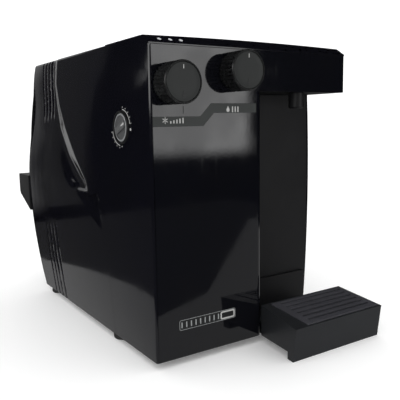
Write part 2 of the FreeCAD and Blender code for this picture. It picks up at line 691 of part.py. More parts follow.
tray_side = slab("tray_side", [
    (tray_front + s.tray_lean, 0), (tray_front + s.tray_lean + s.tray_lip, 0),
    (tray_front + s.tray_lean + s.tray_lip, s.tray_clear), (tray_back, s.tray_clear),
    (tray_back, s.tray_back_height), (tray_front, s.tray_front_height)], tray_left, tray_right)
tray_plan = plate("tray_plan", [
    (tray_left, tray_front - 1), (tray_right, tray_front - 1), (tray_right, tray_back + 1),
    (tray_left + s.tray_taper, tray_back + 1)], -1, s.tray_back_height + 5)
well_left = tray_left + s.tray_ledge
grille_left = well_left - 2
tongue_left = spout_x - s.tongue_width / 2
tongue_right = spout_x + s.tongue_width / 2
tongue_low = BASE_TOP + 0.5
drip_tray = cut("drip_tray", joined("tray_body", [
    shared("tray_form", [tray_side, tray_plan]),
    box("tray_tongue", tongue_left, tongue_right, tray_back - 2, FRONT + s.tongue_depth, tongue_low,
        tongue_low + s.tongue_thickness)]), [
    slab("tray_well", [
        (tray_front + s.tray_lean + s.tray_wall, s.tray_clear + s.tray_wall),
        (tray_back - s.tray_wall, s.tray_clear + s.tray_wall),
        (tray_back - s.tray_wall, s.tray_back_height + 5), (tray_front + s.tray_wall + 1, s.tray_back_height + 5)],
        well_left, tray_right - s.tray_wall),
    slab("grille_seat", [
        (tray_front + s.grille_rim, tray_height(s.grille_rim, s.grille_thickness - 1.2)),
        (tray_back - s.grille_rim, tray_height(s.tray_reach - s.tray_gap - s.grille_rim, s.grille_thickness - 1.2)),
        (tray_back - s.grille_rim, s.tray_back_height + 5), (tray_front + s.grille_rim, s.tray_back_height + 5)],
        grille_left - s.grille_gap, tray_right - s.grille_rim + s.grille_gap),
    box("ledge_core", tray_left + s.tray_taper + s.tray_wall, well_left - s.tray_wall,
        tray_front + s.tray_lean + s.tray_lip + s.tray_wall, tray_back - s.tray_wall, 0,
        s.tray_front_height - s.tray_wall - 1),
])

grille_right = tray_right - s.grille_rim
grille_near = s.grille_rim + s.grille_gap
grille_far = s.tray_reach - s.tray_gap - s.grille_rim - s.grille_gap
grille_rise = 1.2
slot_cuts = []
for index in range(6):
    slot_y = tray_front + s.slot_first + index * s.slot_pitch
    slot_x = grille_left + s.slot_margin
    slot_cuts.append(box("slot_%d" % (index + 1), slot_x, slot_x + s.slot_length, slot_y - s.slot_width / 2,
                         slot_y + s.slot_width / 2, 0, s.tray_back_height + 10))
drip_grille = cut("drip_grille", slab("grille_form", [
    (tray_front + grille_near, tray_height(grille_near, s.grille_thickness - grille_rise - 0.1)),
    (tray_front + grille_far, tray_height(grille_far, s.grille_thickness - grille_rise - 0.1)),
    (tray_front + grille_far, tray_height(grille_far) + 0.2),
    (tray_front + grille_far - 1, tray_height(grille_far) + grille_rise),
    (tray_front + grille_near + 1, tray_height(grille_near) + grille_rise),
    (tray_front + grille_near, tray_height(grille_near) + 0.2)], grille_left, grille_right), slot_cuts)

rail_parts = []
for side, rail_x in (("left", tongue_left - 0.6 - s.rail_width), ("right", tongue_right + 0.6)):
    rail_parts.append(box("rail_" + side, rail_x, rail_x + s.rail_width, FRONT + 6, FRONT + s.tongue_depth + 6,
                          BASE_TOP, tongue_low + s.tongue_thickness + 2))
tray_guides = group("tray_guides", rail_parts)

# ---------------------------------------------------------------- rotary taps and spout

def tap_set(name, x, level):
    """One tap: knob, face cap, stem, body and lock nut along an axis that points to the front."""
    radius = s.knob_radius
    inside = radius - s.knob_wall
    back = s.knob_lift
    face = s.knob_length
    shelf = face - s.knob_cap_thickness
    bore = s.stem_radius + s.stem_play
    body = turned(name + "_knob", [
        (inside, back), (radius - 0.4, back), (radius, back + 1), (radius, face - 1.6), (radius - 1.4, face),
        (s.knob_cap_radius + 0.1, face), (s.knob_cap_radius + 0.1, shelf), (0, shelf), (0, shelf - 4),
        (bore, shelf - 4), (bore, back + 3.4), (s.hub_radius, back + 3.4), (s.hub_radius, shelf - 2.4),
        (inside, shelf - 2.4)], x, FRONT, level, TURN_FRONT)
    flute = body.newObject("Sketcher::SketchObject", name + "_flute")
    plane = [item for item in body.Origin.OriginFeatures if item.Role == "XY_Plane"][0]
    flute.AttachmentSupport = (plane, [""])
    flute.MapMode = "FlatFace"
    flute.addGeometry(Part.Circle(Vector(0, plain(radius) + 0.45, 0), Vector(0, 0, 1), plain(s.flute_radius)), False)
    for kind, size in (("DistanceX", 0), ("DistanceY", radius + 0.45)):
        number = flute.addConstraint(Sketcher.Constraint(kind, -1, 1, 0, 3, plain(size)))
        if isinstance(size, Size):
            flute.setExpression("Constraints[%d]" % number, size.text)
    number = flute.addConstraint(Sketcher.Constraint("Radius", 0, plain(s.flute_radius)))
    flute.setExpression("Constraints[%d]" % number, s.flute_radius.text)
    groove = body.newObject("PartDesign::Pocket", name + "_groove")
    groove.Profile = flute
    groove.Type = 0
    groove.Reversed = True
    bind(groove, "Length", face - 2.4)
    ring = body.newObject("PartDesign::PolarPattern", name + "_flutes")
    ring.Originals = [groove]
    ring.Axis = (flute, ["N_Axis"])
    ring.Angle = 360
    ring.Occurrences = 44
    body.Tip = ring
    cap = rod(name + "_knob_cap", s.knob_cap_radius, s.knob_cap_thickness - 0.1, x, FRONT - shelf - 0.05, level,
              TURN_FRONT)
    stem = rod(name + "_stem", s.stem_radius, shelf - 4.2 + s.tap_length - 8, x, FRONT + s.tap_length - 8, level,
               TURN_FRONT)
    nose = rod(name + "_nose", s.nose_radius, s.panel_thickness + s.nut_thickness + 0.8, x,
               FRONT + s.panel_thickness + 0.1, level, TURN_FRONT)
    housing = rod(name + "_housing", s.tap_radius, s.tap_length, x, FRONT + s.panel_thickness + 0.1, level, TURN_BACK)
    outlet = rod(name + "_outlet", s.barb_radius, s.barb_length + s.tap_radius, x, FRONT + s.tap_length - 6, level,
                 FreeCAD.Rotation(Vector(1, 0, 0), 180))
    inlet = rod(name + "_inlet", s.barb_radius, s.barb_length, x, FRONT + s.panel_thickness + s.tap_length - 1, level,
                TURN_BACK)
    cut(name + "_tap", joined(name + "_tap_form", [nose, housing, outlet, inlet]), [
        rod(name + "_bore", bore, s.tap_length + 4, x, FRONT + s.tap_length - 7.9, level, TURN_FRONT)])
    nut = doc.addObject("Part::Prism", name + "_nut")
    nut.Polygon = 6
    bind(nut, "Circumradius", s.nut_radius)
    bind(nut, "Height", s.nut_thickness)
    place(nut, x, FRONT - 0.05, level, TURN_FRONT)
    return cut(name + "_lock_nut", nut, [
        rod(name + "_nut_bore", s.nose_radius + 0.05, 20, x, FRONT + 5, level, TURN_FRONT)])


nuts = [tap_set("cold", cold_x, COLD_LEVEL), tap_set("room", room_x, ROOM_LEVEL)]
tap_lock_nuts = group("tap_lock_nuts", nuts)

under = HEAD_UNDER
neck = s.spout_radius * 0.7
spout_form = turned("spout_form", [
    (0, under - s.spout_drop), (s.spout_radius - 2, under - s.spout_drop),
    (s.spout_radius, under - s.spout_drop + 2), (s.spout_radius, under - 0.05), (neck, under - 0.05),
    (neck, under + s.liner_wall + 8), (0, under + s.liner_wall + 8)], spout_x, spout_y, 0)
LEANING = FreeCAD.Rotation(Vector(1, 0, 0), 180 - plain(s.spout_lean))
throw = math.sin(math.radians(plain(s.spout_lean)))
spout = cut("spout", spout_form, [
    rod("spout_flow", s.spout_bore, 60, spout_x, spout_y + 30 * throw, under + 30, LEANING)])
spout_seal = turned("spout_seal", [
    (neck + 0.05, under + s.liner_wall + 0.05), (neck + 3, under + s.liner_wall + 0.05),
    (neck + 3, under + s.liner_wall + 2.4), (neck + 0.05, under + s.liner_wall + 2.4)], spout_x, spout_y, 0)
elbow_z = under + s.liner_wall + 8.1
spout_elbow = joined("spout_elbow", [
    rod("elbow_cup", neck, 14, spout_x, spout_y, elbow_z),
    rod("elbow_barb", s.barb_radius, s.barb_length + neck, spout_x, spout_y, elbow_z + 7, TURN_LEFT),
    rod("elbow_barb_rear", s.barb_radius, s.barb_length + neck, spout_x, spout_y, elbow_z + 7, TURN_BACK)])

# ---------------------------------------------------------------- thermostat

thermostat_bezel = turned("thermostat_bezel", [
    (s.stem_radius + 0.6, 0), (bezel_radius, 0), (bezel_radius, s.bezel_depth), (bezel_radius - 1, s.bezel_depth + 1),
    (s.dial_radius + s.bezel_gap, s.bezel_depth + 1), (s.dial_radius + s.bezel_gap, 2), (s.stem_radius + 0.6, 2)],
    LEFT - s.dial_proud + s.bezel_depth + 1, dial_y, DIAL_LEVEL, TURN_LEFT)
dial_back = s.bezel_depth - s.dial_thickness
dial_form = turned("dial_form", [
    (0, dial_back), (s.dial_radius - 0.6, dial_back), (s.dial_radius, dial_back + 0.6),
    (s.dial_radius, s.bezel_depth + 0.4), (s.dial_radius - 1.2, s.bezel_depth + 1.4),
    (s.dial_radius - 3.4, s.bezel_depth + 1.4), (s.dial_radius - 4, s.bezel_depth - 1), (0, s.bezel_depth - 1)],
    LEFT - s.dial_proud + s.bezel_depth + 1, dial_y, DIAL_LEVEL, TURN_LEFT)


def rotated_bar(reach, half_width, angle):
    """Corners (depth, height) of a bar centred on the dial axis."""
    across = math.cos(math.radians(angle))
    up = math.sin(math.radians(angle))
    return [(dial_y + reach * along * across - half_width * aside * up,
             DIAL_LEVEL + reach * along * up + half_width * aside * across)
            for along, aside in ((-1, -1), (1, -1), (1, 1), (-1, 1))]


dial_face = LEFT - s.dial_proud
pointer_bar = slab("pointer_bar", rotated_bar(s.dial_radius - 2.4, s.dial_radius * 0.2, plain(s.pointer_angle)),
                   dial_face - 0.6, dial_face + 3)
spindle = rod("dial_spindle", s.stem_radius, s.bezel_depth + 12, dial_face + s.bezel_depth - dial_back - 3, dial_y,
              DIAL_LEVEL, TURN_X)
thermostat_dial = joined("thermostat_dial", [dial_form, pointer_bar, spindle])
bezel_back = dial_face + s.bezel_depth + 1
thermostat_body = cut("thermostat_body", joined("thermostat_form", [
    box("thermostat_case", bezel_back + 2, bezel_back + 26, dial_y - 15, dial_y + 15, DIAL_LEVEL - 16,
        DIAL_LEVEL + 16),
    rod("thermostat_nose", 5, 2.1, bezel_back + 0.1, dial_y, DIAL_LEVEL, TURN_X)]), [
    rod("spindle_bore", s.stem_radius + s.stem_play, 26, bezel_back - 5, dial_y, DIAL_LEVEL, TURN_X)])
bracket_x = bezel_back + 26.1
thermostat_bracket = box("thermostat_bracket", bracket_x, bracket_x + 1.5, dial_y - 20, SEAM + 14,
                         DIAL_LEVEL - 20, DIAL_LEVEL + 20)

# ---------------------------------------------------------------- cooling circuit

cold_tank = turned("cold_tank", [
    (0, TANK_LOW), (s.tank_radius - 8, TANK_LOW), (s.tank_radius, TANK_LOW + 8),
    (s.tank_radius, TANK_TOP), (s.tank_radius + 3, TANK_TOP), (s.tank_radius + 3, TANK_TOP + 2),
    (s.tank_radius - 1.2, TANK_TOP + 2), (s.tank_radius - 1.2, TANK_LOW + 8.5),
    (s.tank_radius - 8.5, TANK_LOW + 1.2), (0, TANK_LOW + 1.2)], s.tank_x, s.tank_y, 0)
tank_lid = turned("tank_lid", [
    (0, TANK_TOP + 2.1), (s.tank_radius + 3, TANK_TOP + 2.1), (s.tank_radius + 3, TANK_TOP + 6),
    (12, TANK_TOP + 9), (0, TANK_TOP + 9)], s.tank_x, s.tank_y, 0)
coil_ring = s.tank_radius + s.coil_tube + 0.3
coil_turns = [torus("coil_turn_%d" % (index + 1), coil_ring, s.coil_tube, s.tank_x, s.tank_y,
                    TANK_LOW + 20 + index * 18) for index in range(7)]
coil_riser = rod("coil_riser", s.coil_tube, 18 * 6, s.tank_x + coil_ring, s.tank_y, TANK_LOW + 20)
evaporator_coil = joined("evaporator_coil", coil_turns + [coil_riser])
foam_inner = coil_ring + s.coil_tube + 0.4
foam_outer = foam_inner + s.foam_wall
foam_split = TANK_TOP - 6
foam_cup = turned("tank_insulation_lower", [
    (0, TANK_LOW - s.foam_wall), (foam_outer, TANK_LOW - s.foam_wall), (foam_outer, foam_split),
    (foam_inner, foam_split), (foam_inner, TANK_LOW - 0.2), (0, TANK_LOW - 0.2)], s.tank_x, s.tank_y, 0)
foam_lid = turned("tank_insulation_upper", [
    (foam_inner, foam_split + 0.1), (foam_outer, foam_split + 0.1), (foam_outer, TANK_TOP + 21),
    (10, TANK_TOP + 21), (10, TANK_TOP + 9.2), (foam_inner, TANK_TOP + 9.2)], s.tank_x, s.tank_y, 0)
shelf_top = TANK_LOW - s.foam_wall - 0.1
shelf_left = s.tank_x - foam_outer
shelf_right = s.tank_x + foam_outer
tank_shelf = joined("tank_shelf", [
    box("shelf_plate", shelf_left, shelf_right, s.tank_y - foam_outer, s.tank_y + foam_outer, shelf_top - 1.5, shelf_top),
    box("shelf_left_leg", shelf_left, shelf_left + 1.5, s.tank_y - 40, s.tank_y + 40, BASE_TOP, shelf_top),
    box("shelf_right_leg", shelf_right - 1.5, shelf_right, s.tank_y - 40, s.tank_y + 40, BASE_TOP, shelf_top)])

can_low = BASE_TOP + s.mount_height + 3
can_high = can_low + s.compressor_height
can_inside = s.compressor_radius - s.compressor_wall
motor_top = can_high - 45
compressor = cut("compressor", joined("compressor_form", [
    turned("compressor_can", [
        (0, can_low), (s.compressor_radius * 0.8, can_low), (s.compressor_radius, can_low + 16),
        (s.compressor_radius, can_low + 78), (s.compressor_radius + 2, can_low + 80),
        (s.compressor_radius, can_low + 82), (s.compressor_radius, can_high - 26),
        (s.compressor_radius * 0.72, can_high - 4), (0, can_high)], s.compressor_x, s.compressor_y, 0),
    box("compressor_foot", s.compressor_x - 62, s.compressor_x + 62, s.compressor_y - 50, s.compressor_y + 50,
        BASE_TOP + s.mount_height, can_low + 0.5)]), [
    turned("compressor_space", [
        (s.motor_radius, can_low + 16), (can_inside, can_low + 20), (can_inside, can_high - 28),
        (can_inside * 0.68, can_high - 9), (0, can_high - 7), (0, motor_top), (s.motor_radius, motor_top)],
        s.compressor_x, s.compressor_y, 0)])
mount_parts = []
for index in range(4):
    mount_x = s.compressor_x + (50 if index % 2 else -50)
    mount_y = s.compressor_y + (40 if index > 1 else -40)
    mount_parts.append(turned("mount_%d" % (index + 1), [
        (0, BASE_TOP), (9, BASE_TOP), (7, BASE_TOP + 4), (9, BASE_TOP + s.mount_height - 0.05),
        (0, BASE_TOP + s.mount_height - 0.05)], mount_x, mount_y, 0))
compressor_mounts = group("compressor_mounts", mount_parts)
relay_cover = box("relay_cover", s.compressor_x - 26, s.compressor_x + 26,
                  s.compressor_y - s.compressor_radius - 26, s.compressor_y - s.compressor_radius - 3,
                  can_low + 30, can_low + 74)

grid_y = BACK - 20
grid_low = s.condenser_low
grid_runs = 8
grid_pitch = (s.body_height - s.condenser_drop - s.condenser_low) / (grid_runs - 1)
grid_bend = grid_pitch / 2
grid_left = LEFT + s.condenser_inset
grid_right = RIGHT - s.condenser_inset
runs = []
for index in range(grid_runs):
    level = grid_low + index * grid_pitch
    runs.append(rod("grid_run_%d" % (index + 1), s.condenser_tube, grid_right - grid_left, grid_left, grid_y, level, TURN_X))
    if index + 1 < grid_runs:
        outer_end = grid_right if index % 2 == 0 else grid_left
        bend_ring = doc.addObject("Part::Torus", "grid_bend_%d" % (index + 1))
        bind(bend_ring, "Radius1", grid_bend)
        bind(bend_ring, "Radius2", s.condenser_tube)
        bend_ring.Angle3 = 180
        spin = FreeCAD.Rotation(Vector(0, 1, 0), 90 if index % 2 == 0 else -90)
        place(bend_ring, outer_end, grid_y, level + grid_bend, spin.multiply(TURN_FRONT))
        runs.append(bend_ring)
condenser = joined("condenser", runs)
wires = []
for index in range(14):
    share = (index + 0.5) / 14
    wire_x = grid_left + (grid_right - grid_left) * share
    for side in (-1, 1):
        wires.append(rod("wire_%d_%s" % (index + 1, "front" if side < 0 else "rear"), 0.8,
                         grid_pitch * (grid_runs - 1) + 12, wire_x, grid_y + side * (s.condenser_tube + 0.85),
                         grid_low - 6))
condenser_wires = group("condenser_wires", wires)
filter_dryer = turned("filter_dryer", [
    (0, 0), (2.4, 0), (2.4, 8), (9, 14), (9, 74), (2.4, 80), (2.4, 88), (0, 88)],
    RIGHT - 26, s.compressor_y - 100, can_low + 40)

# ---------------------------------------------------------------- filter and water path

filter_low = BASE_TOP + 14
filter_top = s.body_height - s.filter_drop
filter_cartridge = turned("filter_cartridge", [
    (0, filter_low), (s.filter_radius - 6, filter_low), (s.filter_radius, filter_low + 6),
    (s.filter_radius, filter_top - 20), (s.filter_radius - 8, filter_top - 12), (s.filter_radius - 8, filter_top),
    (0, filter_top)], FILTER_X, FILTER_Y, 0)
head_low = filter_top + 0.1
filter_head = joined("filter_head", [
    turned("filter_head_body", [
        (0, head_low), (s.filter_radius - 5, head_low), (s.filter_radius - 5, head_low + 24), (0, head_low + 28)],
        FILTER_X, FILTER_Y, 0),
    rod("filter_top_out", s.barb_radius, s.barb_length + 28, FILTER_X, FILTER_Y, head_low),
    rod("filter_in", s.barb_radius, s.filter_radius + 8, FILTER_X, FILTER_Y, head_low + 14, TURN_BACK),
    rod("filter_out", s.barb_radius, s.filter_radius + 8, FILTER_X, FILTER_Y, head_low + 14, TURN_X)])
filter_bracket = joined("filter_bracket", [
    box("filter_seat", FILTER_X - s.filter_radius, FILTER_X + s.filter_radius, FILTER_Y - s.filter_radius,
        FILTER_Y + s.filter_radius, filter_low - 2.1, filter_low - 0.1),
    box("filter_post_left", FILTER_X - s.filter_radius, FILTER_X - s.filter_radius + 3, FILTER_Y - 16,
        FILTER_Y + 16, BASE_TOP, filter_low - 0.1),
    box("filter_post_right", FILTER_X + s.filter_radius - 3, FILTER_X + s.filter_radius, FILTER_Y - 16,
        FILTER_Y + 16, BASE_TOP, filter_low - 0.1)])
port_face = back_at(s.inlet_level) - s.back_recess
inlet_face = port_face + 1
water_inlet_port = cut("water_inlet_port", joined("inlet_form", [
    rod("inlet_barrel", s.inlet_radius, 26, port_x, inlet_face - 26, s.inlet_level, TURN_BACK),
    rod("inlet_collet", 6.4, 3, port_x, inlet_face - 0.5, s.inlet_level, TURN_BACK),
    rod("inlet_barb", s.barb_radius, s.barb_length, port_x, inlet_face - 26 - s.barb_length + 0.5, s.inlet_level,
        TURN_BACK)]), [
    rod("inlet_bore_cut", s.inlet_bore, s.inlet_length + 5, port_x, inlet_face + 2.5 - s.inlet_length, s.inlet_level,
        TURN_BACK)])
gland_inner = port_face - 14
collar_face = back_at(s.inlet_level + s.gland_collar) - s.back_recess + 0.2
power_gland = cut("power_gland", joined("gland_form", [
    rod("gland_barrel", s.gland_radius, collar_face + 3 - gland_inner, gland_x, gland_inner, s.inlet_level, TURN_BACK),
    rod("gland_collar", s.gland_collar, 3, gland_x, collar_face, s.inlet_level, TURN_BACK)]), [
    rod("gland_bore", s.gland_bore, 40, gland_x, gland_inner - 5, s.inlet_level, TURN_BACK)])
terminal_block = box("terminal_block", LEFT + 20, LEFT + 60, 120, 140, BASE_TOP, BASE_TOP + 22)

# Hoses, lines and leads run in straight stretches joined by tangent arcs.
tap_rear = FRONT + s.panel_thickness + s.tap_length + s.barb_length - 0.8
tap_outlet = s.barb_length + s.tap_radius + 0.2
outlet_y = FRONT + s.tap_length - 6
filter_port = head_low + 14
filter_reach = s.filter_radius + 8.2
behind_filter = BAY_Y + 42
over_tank = TANK_TOP + 35
beside_bay = BAY_X - 15
elbow_level = elbow_z + 7
tube("inlet_hose", s.hose_radius, [
    (port_x, inlet_face - 26 - s.barb_length + 0.3, s.inlet_level), (port_x, BACK - 78, s.inlet_level),
    (FILTER_X, BACK - 148, s.inlet_level), (FILTER_X, behind_filter, s.inlet_level),
    (FILTER_X, behind_filter, filter_port), (FILTER_X, FILTER_Y + filter_reach, filter_port)], 16)
tube("tank_hose", s.hose_radius, [
    (FILTER_X + filter_reach, FILTER_Y, filter_port), (beside_bay, FILTER_Y, filter_port),
    (beside_bay, behind_filter + 38, filter_port), (beside_bay, behind_filter + 38, over_tank),
    (s.tank_x, s.tank_y - foam_outer - 5, over_tank), (s.tank_x, s.tank_y, over_tank),
    (s.tank_x, s.tank_y, TANK_TOP + 9.3)], 9)
tube("cold_tap_hose", s.hose_radius, [
    (s.tank_x, s.tank_y - foam_outer - 0.1, TANK_TOP - 20), (s.tank_x, s.tank_y - foam_outer - 50, TANK_TOP - 20),
    (cold_x, BAY_Y + 14, COLD_LEVEL), (cold_x, tap_rear, COLD_LEVEL)], 12)
tube("room_tap_hose", s.hose_radius, [
    (FILTER_X, FILTER_Y, head_low + s.barb_length + 28.2), (FILTER_X, FILTER_Y, ROOM_LEVEL - 36),
    (FILTER_X + 14, FILTER_Y + 46, ROOM_LEVEL - 24), (room_x, BAY_Y + 30, ROOM_LEVEL),
    (room_x, tap_rear, ROOM_LEVEL)], 7)
tube("cold_spout_hose", s.hose_radius, [
    (cold_x, outlet_y, COLD_LEVEL - tap_outlet), (cold_x, outlet_y, COLD_LEVEL - 40),
    (beside_bay, outlet_y, COLD_LEVEL - 40), (beside_bay, outlet_y, elbow_level - 2),
    (BAY_X + 16, spout_y, elbow_level), (spout_x - s.barb_length - neck - 0.1, spout_y, elbow_level)], 9)
tube("room_spout_hose", s.hose_radius, [
    (room_x, outlet_y, ROOM_LEVEL - tap_outlet), (room_x, outlet_y, ROOM_LEVEL - 37),
    (beside_bay + 2, BAY_Y - 16, ROOM_LEVEL - 37), (beside_bay + 2, BAY_Y - 16, elbow_level),
    (spout_x, BAY_Y - 16, elbow_level), (spout_x, spout_y + s.barb_length + neck + 0.1, elbow_level)], 7)
line_level = s.condenser_low - 12
grid_top = s.condenser_low + grid_pitch * (grid_runs - 1)
tube("discharge_line", 2, [
    (s.compressor_x, s.compressor_y + s.compressor_radius + 0.3, line_level), (s.compressor_x, grid_y - 11, line_level),
    (grid_left - 11, grid_y - 11, line_level), (grid_left - 11, grid_y, s.condenser_low),
    (grid_left - 0.1, grid_y, s.condenser_low)], 4)
tube("liquid_line", 2, [
    (grid_left - 0.1, grid_y, grid_top), (grid_left - 18, grid_y, grid_top), (grid_left - 18, grid_y - 28, grid_top),
    (s.tank_x - foam_outer * 0.6, s.tank_y + foam_outer * 0.8 + 0.6, grid_top)], 7)
tube("suction_line", 2.6, [
    (s.tank_x + foam_outer + 0.1, s.tank_y, TANK_TOP - 100), (s.compressor_x, s.tank_y, TANK_TOP - 100),
    (s.compressor_x, s.compressor_y, TANK_TOP - 100), (s.compressor_x, s.compressor_y, can_high + 0.2)], 16)
lead_start = gland_inner - 3
block_x = LEFT + 40
tube("supply_lead", 2.6, [
    (gland_x, lead_start, s.inlet_level), (gland_x, lead_start - 20, s.inlet_level),
    (gland_x, lead_start - 40, s.inlet_level - 14), (block_x, 130, s.inlet_level - 14),
    (block_x, 130, BASE_TOP + 22.2)], 6)
tube("compressor_lead", 2.6, [
    (LEFT + 60.2, 130, BASE_TOP + 11), (s.tank_x + 40, 130, BASE_TOP + 11), (s.tank_x + 40, 0, BASE_TOP + 11),
    (s.compressor_x, 0, BASE_TOP + 11), (s.compressor_x, s.compressor_y - s.compressor_radius - 15, BASE_TOP + 11),
    (s.compressor_x, s.compressor_y - s.compressor_radius - 15, can_low + 29.8)], 9)

# ---------------------------------------------------------------- screws

base_screws = []
for index, (x, y) in enumerate(screw_places):
    base_screws.append(turned("base_screw_%d" % (index + 1), [
        (0, s.foot_height - 2), (s.screw_head_radius - 0.8, s.foot_height - 2),
        (s.screw_head_radius, s.foot_height - 1), (s.screw_head_radius, s.foot_height - 0.02),
        (s.screw_radius, s.foot_height - 0.02), (s.screw_radius, BASE_TOP + 7), (0, BASE_TOP + 8.5)], x, y, 0))
group("base_screws", base_screws)
back_face = BACK - s.back_recess + s.back_bow
back_screws = []
for index, x in enumerate(back_screw_places):
    back_screws.append(turned("back_screw_%d" % (index + 1), [
        (0, -s.wall - 6), (s.screw_radius, -s.wall - 5), (s.screw_radius, 0.02), (s.screw_head_radius, 0.02),
        (s.screw_head_radius, 1), (s.screw_head_radius - 0.9, 2), (0, 2)], x, back_face, s.back_screw_level, TURN_BACK))
group("back_screws", back_screws)

# ---------------------------------------------------------------- checks and files

NODES = (
    "front_shell", "rear_shell", "back_cover", "rear_spacer", "base_plate", "feet", "front_panel", "label_ribbon",
    "badge_plate", "control_strip", "indicator_lenses", "bay_liner", "bay_plinth", "head_soffit", "drip_tray",
    "drip_grille", "tray_guides", "cold_knob", "cold_knob_cap", "cold_stem", "cold_tap", "room_knob",
    "room_knob_cap", "room_stem", "room_tap", "tap_lock_nuts", "spout", "spout_seal", "spout_elbow",
    "thermostat_bezel", "thermostat_dial", "thermostat_body", "thermostat_bracket", "cold_tank", "tank_lid",
    "evaporator_coil", "tank_insulation_lower", "tank_insulation_upper", "tank_shelf", "compressor",
    "compressor_mounts", "relay_cover", "condenser", "condenser_wires", "filter_dryer", "filter_cartridge",
    "filter_head", "filter_bracket", "water_inlet_port", "power_gland", "terminal_block", "inlet_hose", "tank_hose",
    "cold_tap_hose", "room_tap_hose", "cold_spout_hose", "room_spout_hose", "refrigerant_lines", "internal_leads",
    "casing_screws")
group("refrigerant_lines", [doc.getObject(name) for name in ("discharge_line", "liquid_line", "suction_line")])
group("internal_leads", [doc.getObject(name) for name in ("supply_lead", "compressor_lead")])
group("casing_screws", [doc.getObject("base_screws"), doc.getObject("back_screws")])
doc.recompute()
for item in doc.Objects:
    if "Invalid" in item.State or "Error" in item.State:
        raise RuntimeError("%s did not build: %s" % (item.Name, item.State))
for name in NODES:
    item = doc.getObject(name)
    item.Label = name
    if item.Shape.isNull() or not item.Shape.isValid() or not item.Shape.Solids:
        raise RuntimeError("%s has no valid solid" % name)
os.makedirs("parts", exist_ok=True)
for name in NODES:
    doc.getObject(name).Shape.exportStep("parts/%s.step" % name)
print("wrote %d nodes" % len(NODES))
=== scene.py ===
"""The looks of a countertop water dispenser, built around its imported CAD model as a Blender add-on.
Left is -X and the front is -Y. Everything is in metres in the frame of the CAD model."""

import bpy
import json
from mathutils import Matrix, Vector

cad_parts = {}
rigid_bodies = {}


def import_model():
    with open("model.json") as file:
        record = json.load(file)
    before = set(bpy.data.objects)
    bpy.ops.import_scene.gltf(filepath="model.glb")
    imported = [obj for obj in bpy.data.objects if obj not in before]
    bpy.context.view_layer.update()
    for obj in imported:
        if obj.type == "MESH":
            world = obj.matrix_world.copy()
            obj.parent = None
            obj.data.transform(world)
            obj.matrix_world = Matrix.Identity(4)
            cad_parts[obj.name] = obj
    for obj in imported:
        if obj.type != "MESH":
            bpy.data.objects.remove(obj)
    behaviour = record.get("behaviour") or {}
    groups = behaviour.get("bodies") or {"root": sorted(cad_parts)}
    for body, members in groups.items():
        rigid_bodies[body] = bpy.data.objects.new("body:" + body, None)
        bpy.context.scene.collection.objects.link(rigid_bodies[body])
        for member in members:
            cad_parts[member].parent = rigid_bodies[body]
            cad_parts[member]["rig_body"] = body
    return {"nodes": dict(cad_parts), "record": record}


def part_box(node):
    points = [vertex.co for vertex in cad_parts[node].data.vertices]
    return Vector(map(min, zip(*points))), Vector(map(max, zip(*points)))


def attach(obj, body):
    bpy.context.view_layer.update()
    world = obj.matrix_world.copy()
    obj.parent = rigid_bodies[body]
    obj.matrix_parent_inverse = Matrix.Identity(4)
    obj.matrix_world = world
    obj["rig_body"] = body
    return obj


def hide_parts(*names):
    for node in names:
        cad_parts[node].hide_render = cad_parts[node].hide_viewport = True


bl_info = {
    "name": "Countertop water dispenser",
    "version": (1, 0, 0),
    "blender": (4, 5, 0),
    "location": "3D View > Sidebar > Dispenser",
    "description": "Builds the visible pieces of a countertop water dispenser around its CAD model",
    "category": "Object",
}

import json
import math

import bmesh
import bpy
from mathutils import Matrix, Vector
from mathutils.bvhtree import BVHTree

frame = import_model()

# The casing: its front, the joint between its shells, its foot and its half width there. Then its swell at
# the sides, the top and the back, with the level of a middle and the reach from there to either end.
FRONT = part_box("front_shell")[0].y
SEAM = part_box("rear_shell")[0].y
SHELL_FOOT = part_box("rear_shell")[0].z
HALF_WIDTH = 0.157
SIDE_MIDDLE = 0.205
SIDE_REACH = 0.195
CORNER_LEVEL = 0.400
CROWN = 0.0025
BACK_EDGE = 0.208
BACK_SWELL = 0.025
BACK_MIDDLE = 0.20625
BACK_REACH = 0.19625

# A place clear of the left side, where rays at it start, and the gap between a surface and a mark's foot.
OUTSIDE_LEFT = -0.3
MARK_GAP = 0.00003

WHITE = (1.0, 1.0, 1.0, 1.0)


# ---------------------------------------------------------------- settings


class DispenserShape(bpy.types.PropertyGroup):
    """Sizes of the modelled details."""

    corner: bpy.props.FloatProperty(
        name="Corner", description="Radius of the rear casing's long corners", default=0.0045, unit="LENGTH")
    step_depth: bpy.props.FloatProperty(
        name="Step", description="Depth of the sunken area on each side", default=0.0058, unit="LENGTH")
    scoop_depth: bpy.props.FloatProperty(
        name="Scoop", description="Depth of the hand hold under the step", default=0.0062, unit="LENGTH")
    groove_depth: bpy.props.FloatProperty(
        name="Groove", description="Depth of the grooves near the back", default=0.0020, unit="LENGTH")
    groove_width: bpy.props.FloatProperty(
        name="Groove width", description="Width of the grooves near the back", default=0.0062, unit="LENGTH")
    flutes: bpy.props.IntProperty(
        name="Flutes", description="Grip flutes round a tap knob", default=30)
    flute_depth: bpy.props.FloatProperty(
        name="Flute depth", description="Depth of a grip flute", default=0.0017, unit="LENGTH")
    print_lift: bpy.props.FloatProperty(
        name="Print lift", description="Height of printed marks above their surface", default=0.00012,
        unit="LENGTH")


class DispenserFinish(bpy.types.PropertyGroup):
    """How the surfaces look."""

    gloss: bpy.props.FloatProperty(
        name="Gloss", description="Roughness of the polished casing", default=0.085, subtype="FACTOR")
    satin: bpy.props.FloatProperty(
        name="Satin", description="Roughness of the grained parts", default=0.42, subtype="FACTOR")
    dust: bpy.props.FloatProperty(
        name="Dust", description="Amount of fine dust", default=0.012, subtype="FACTOR")


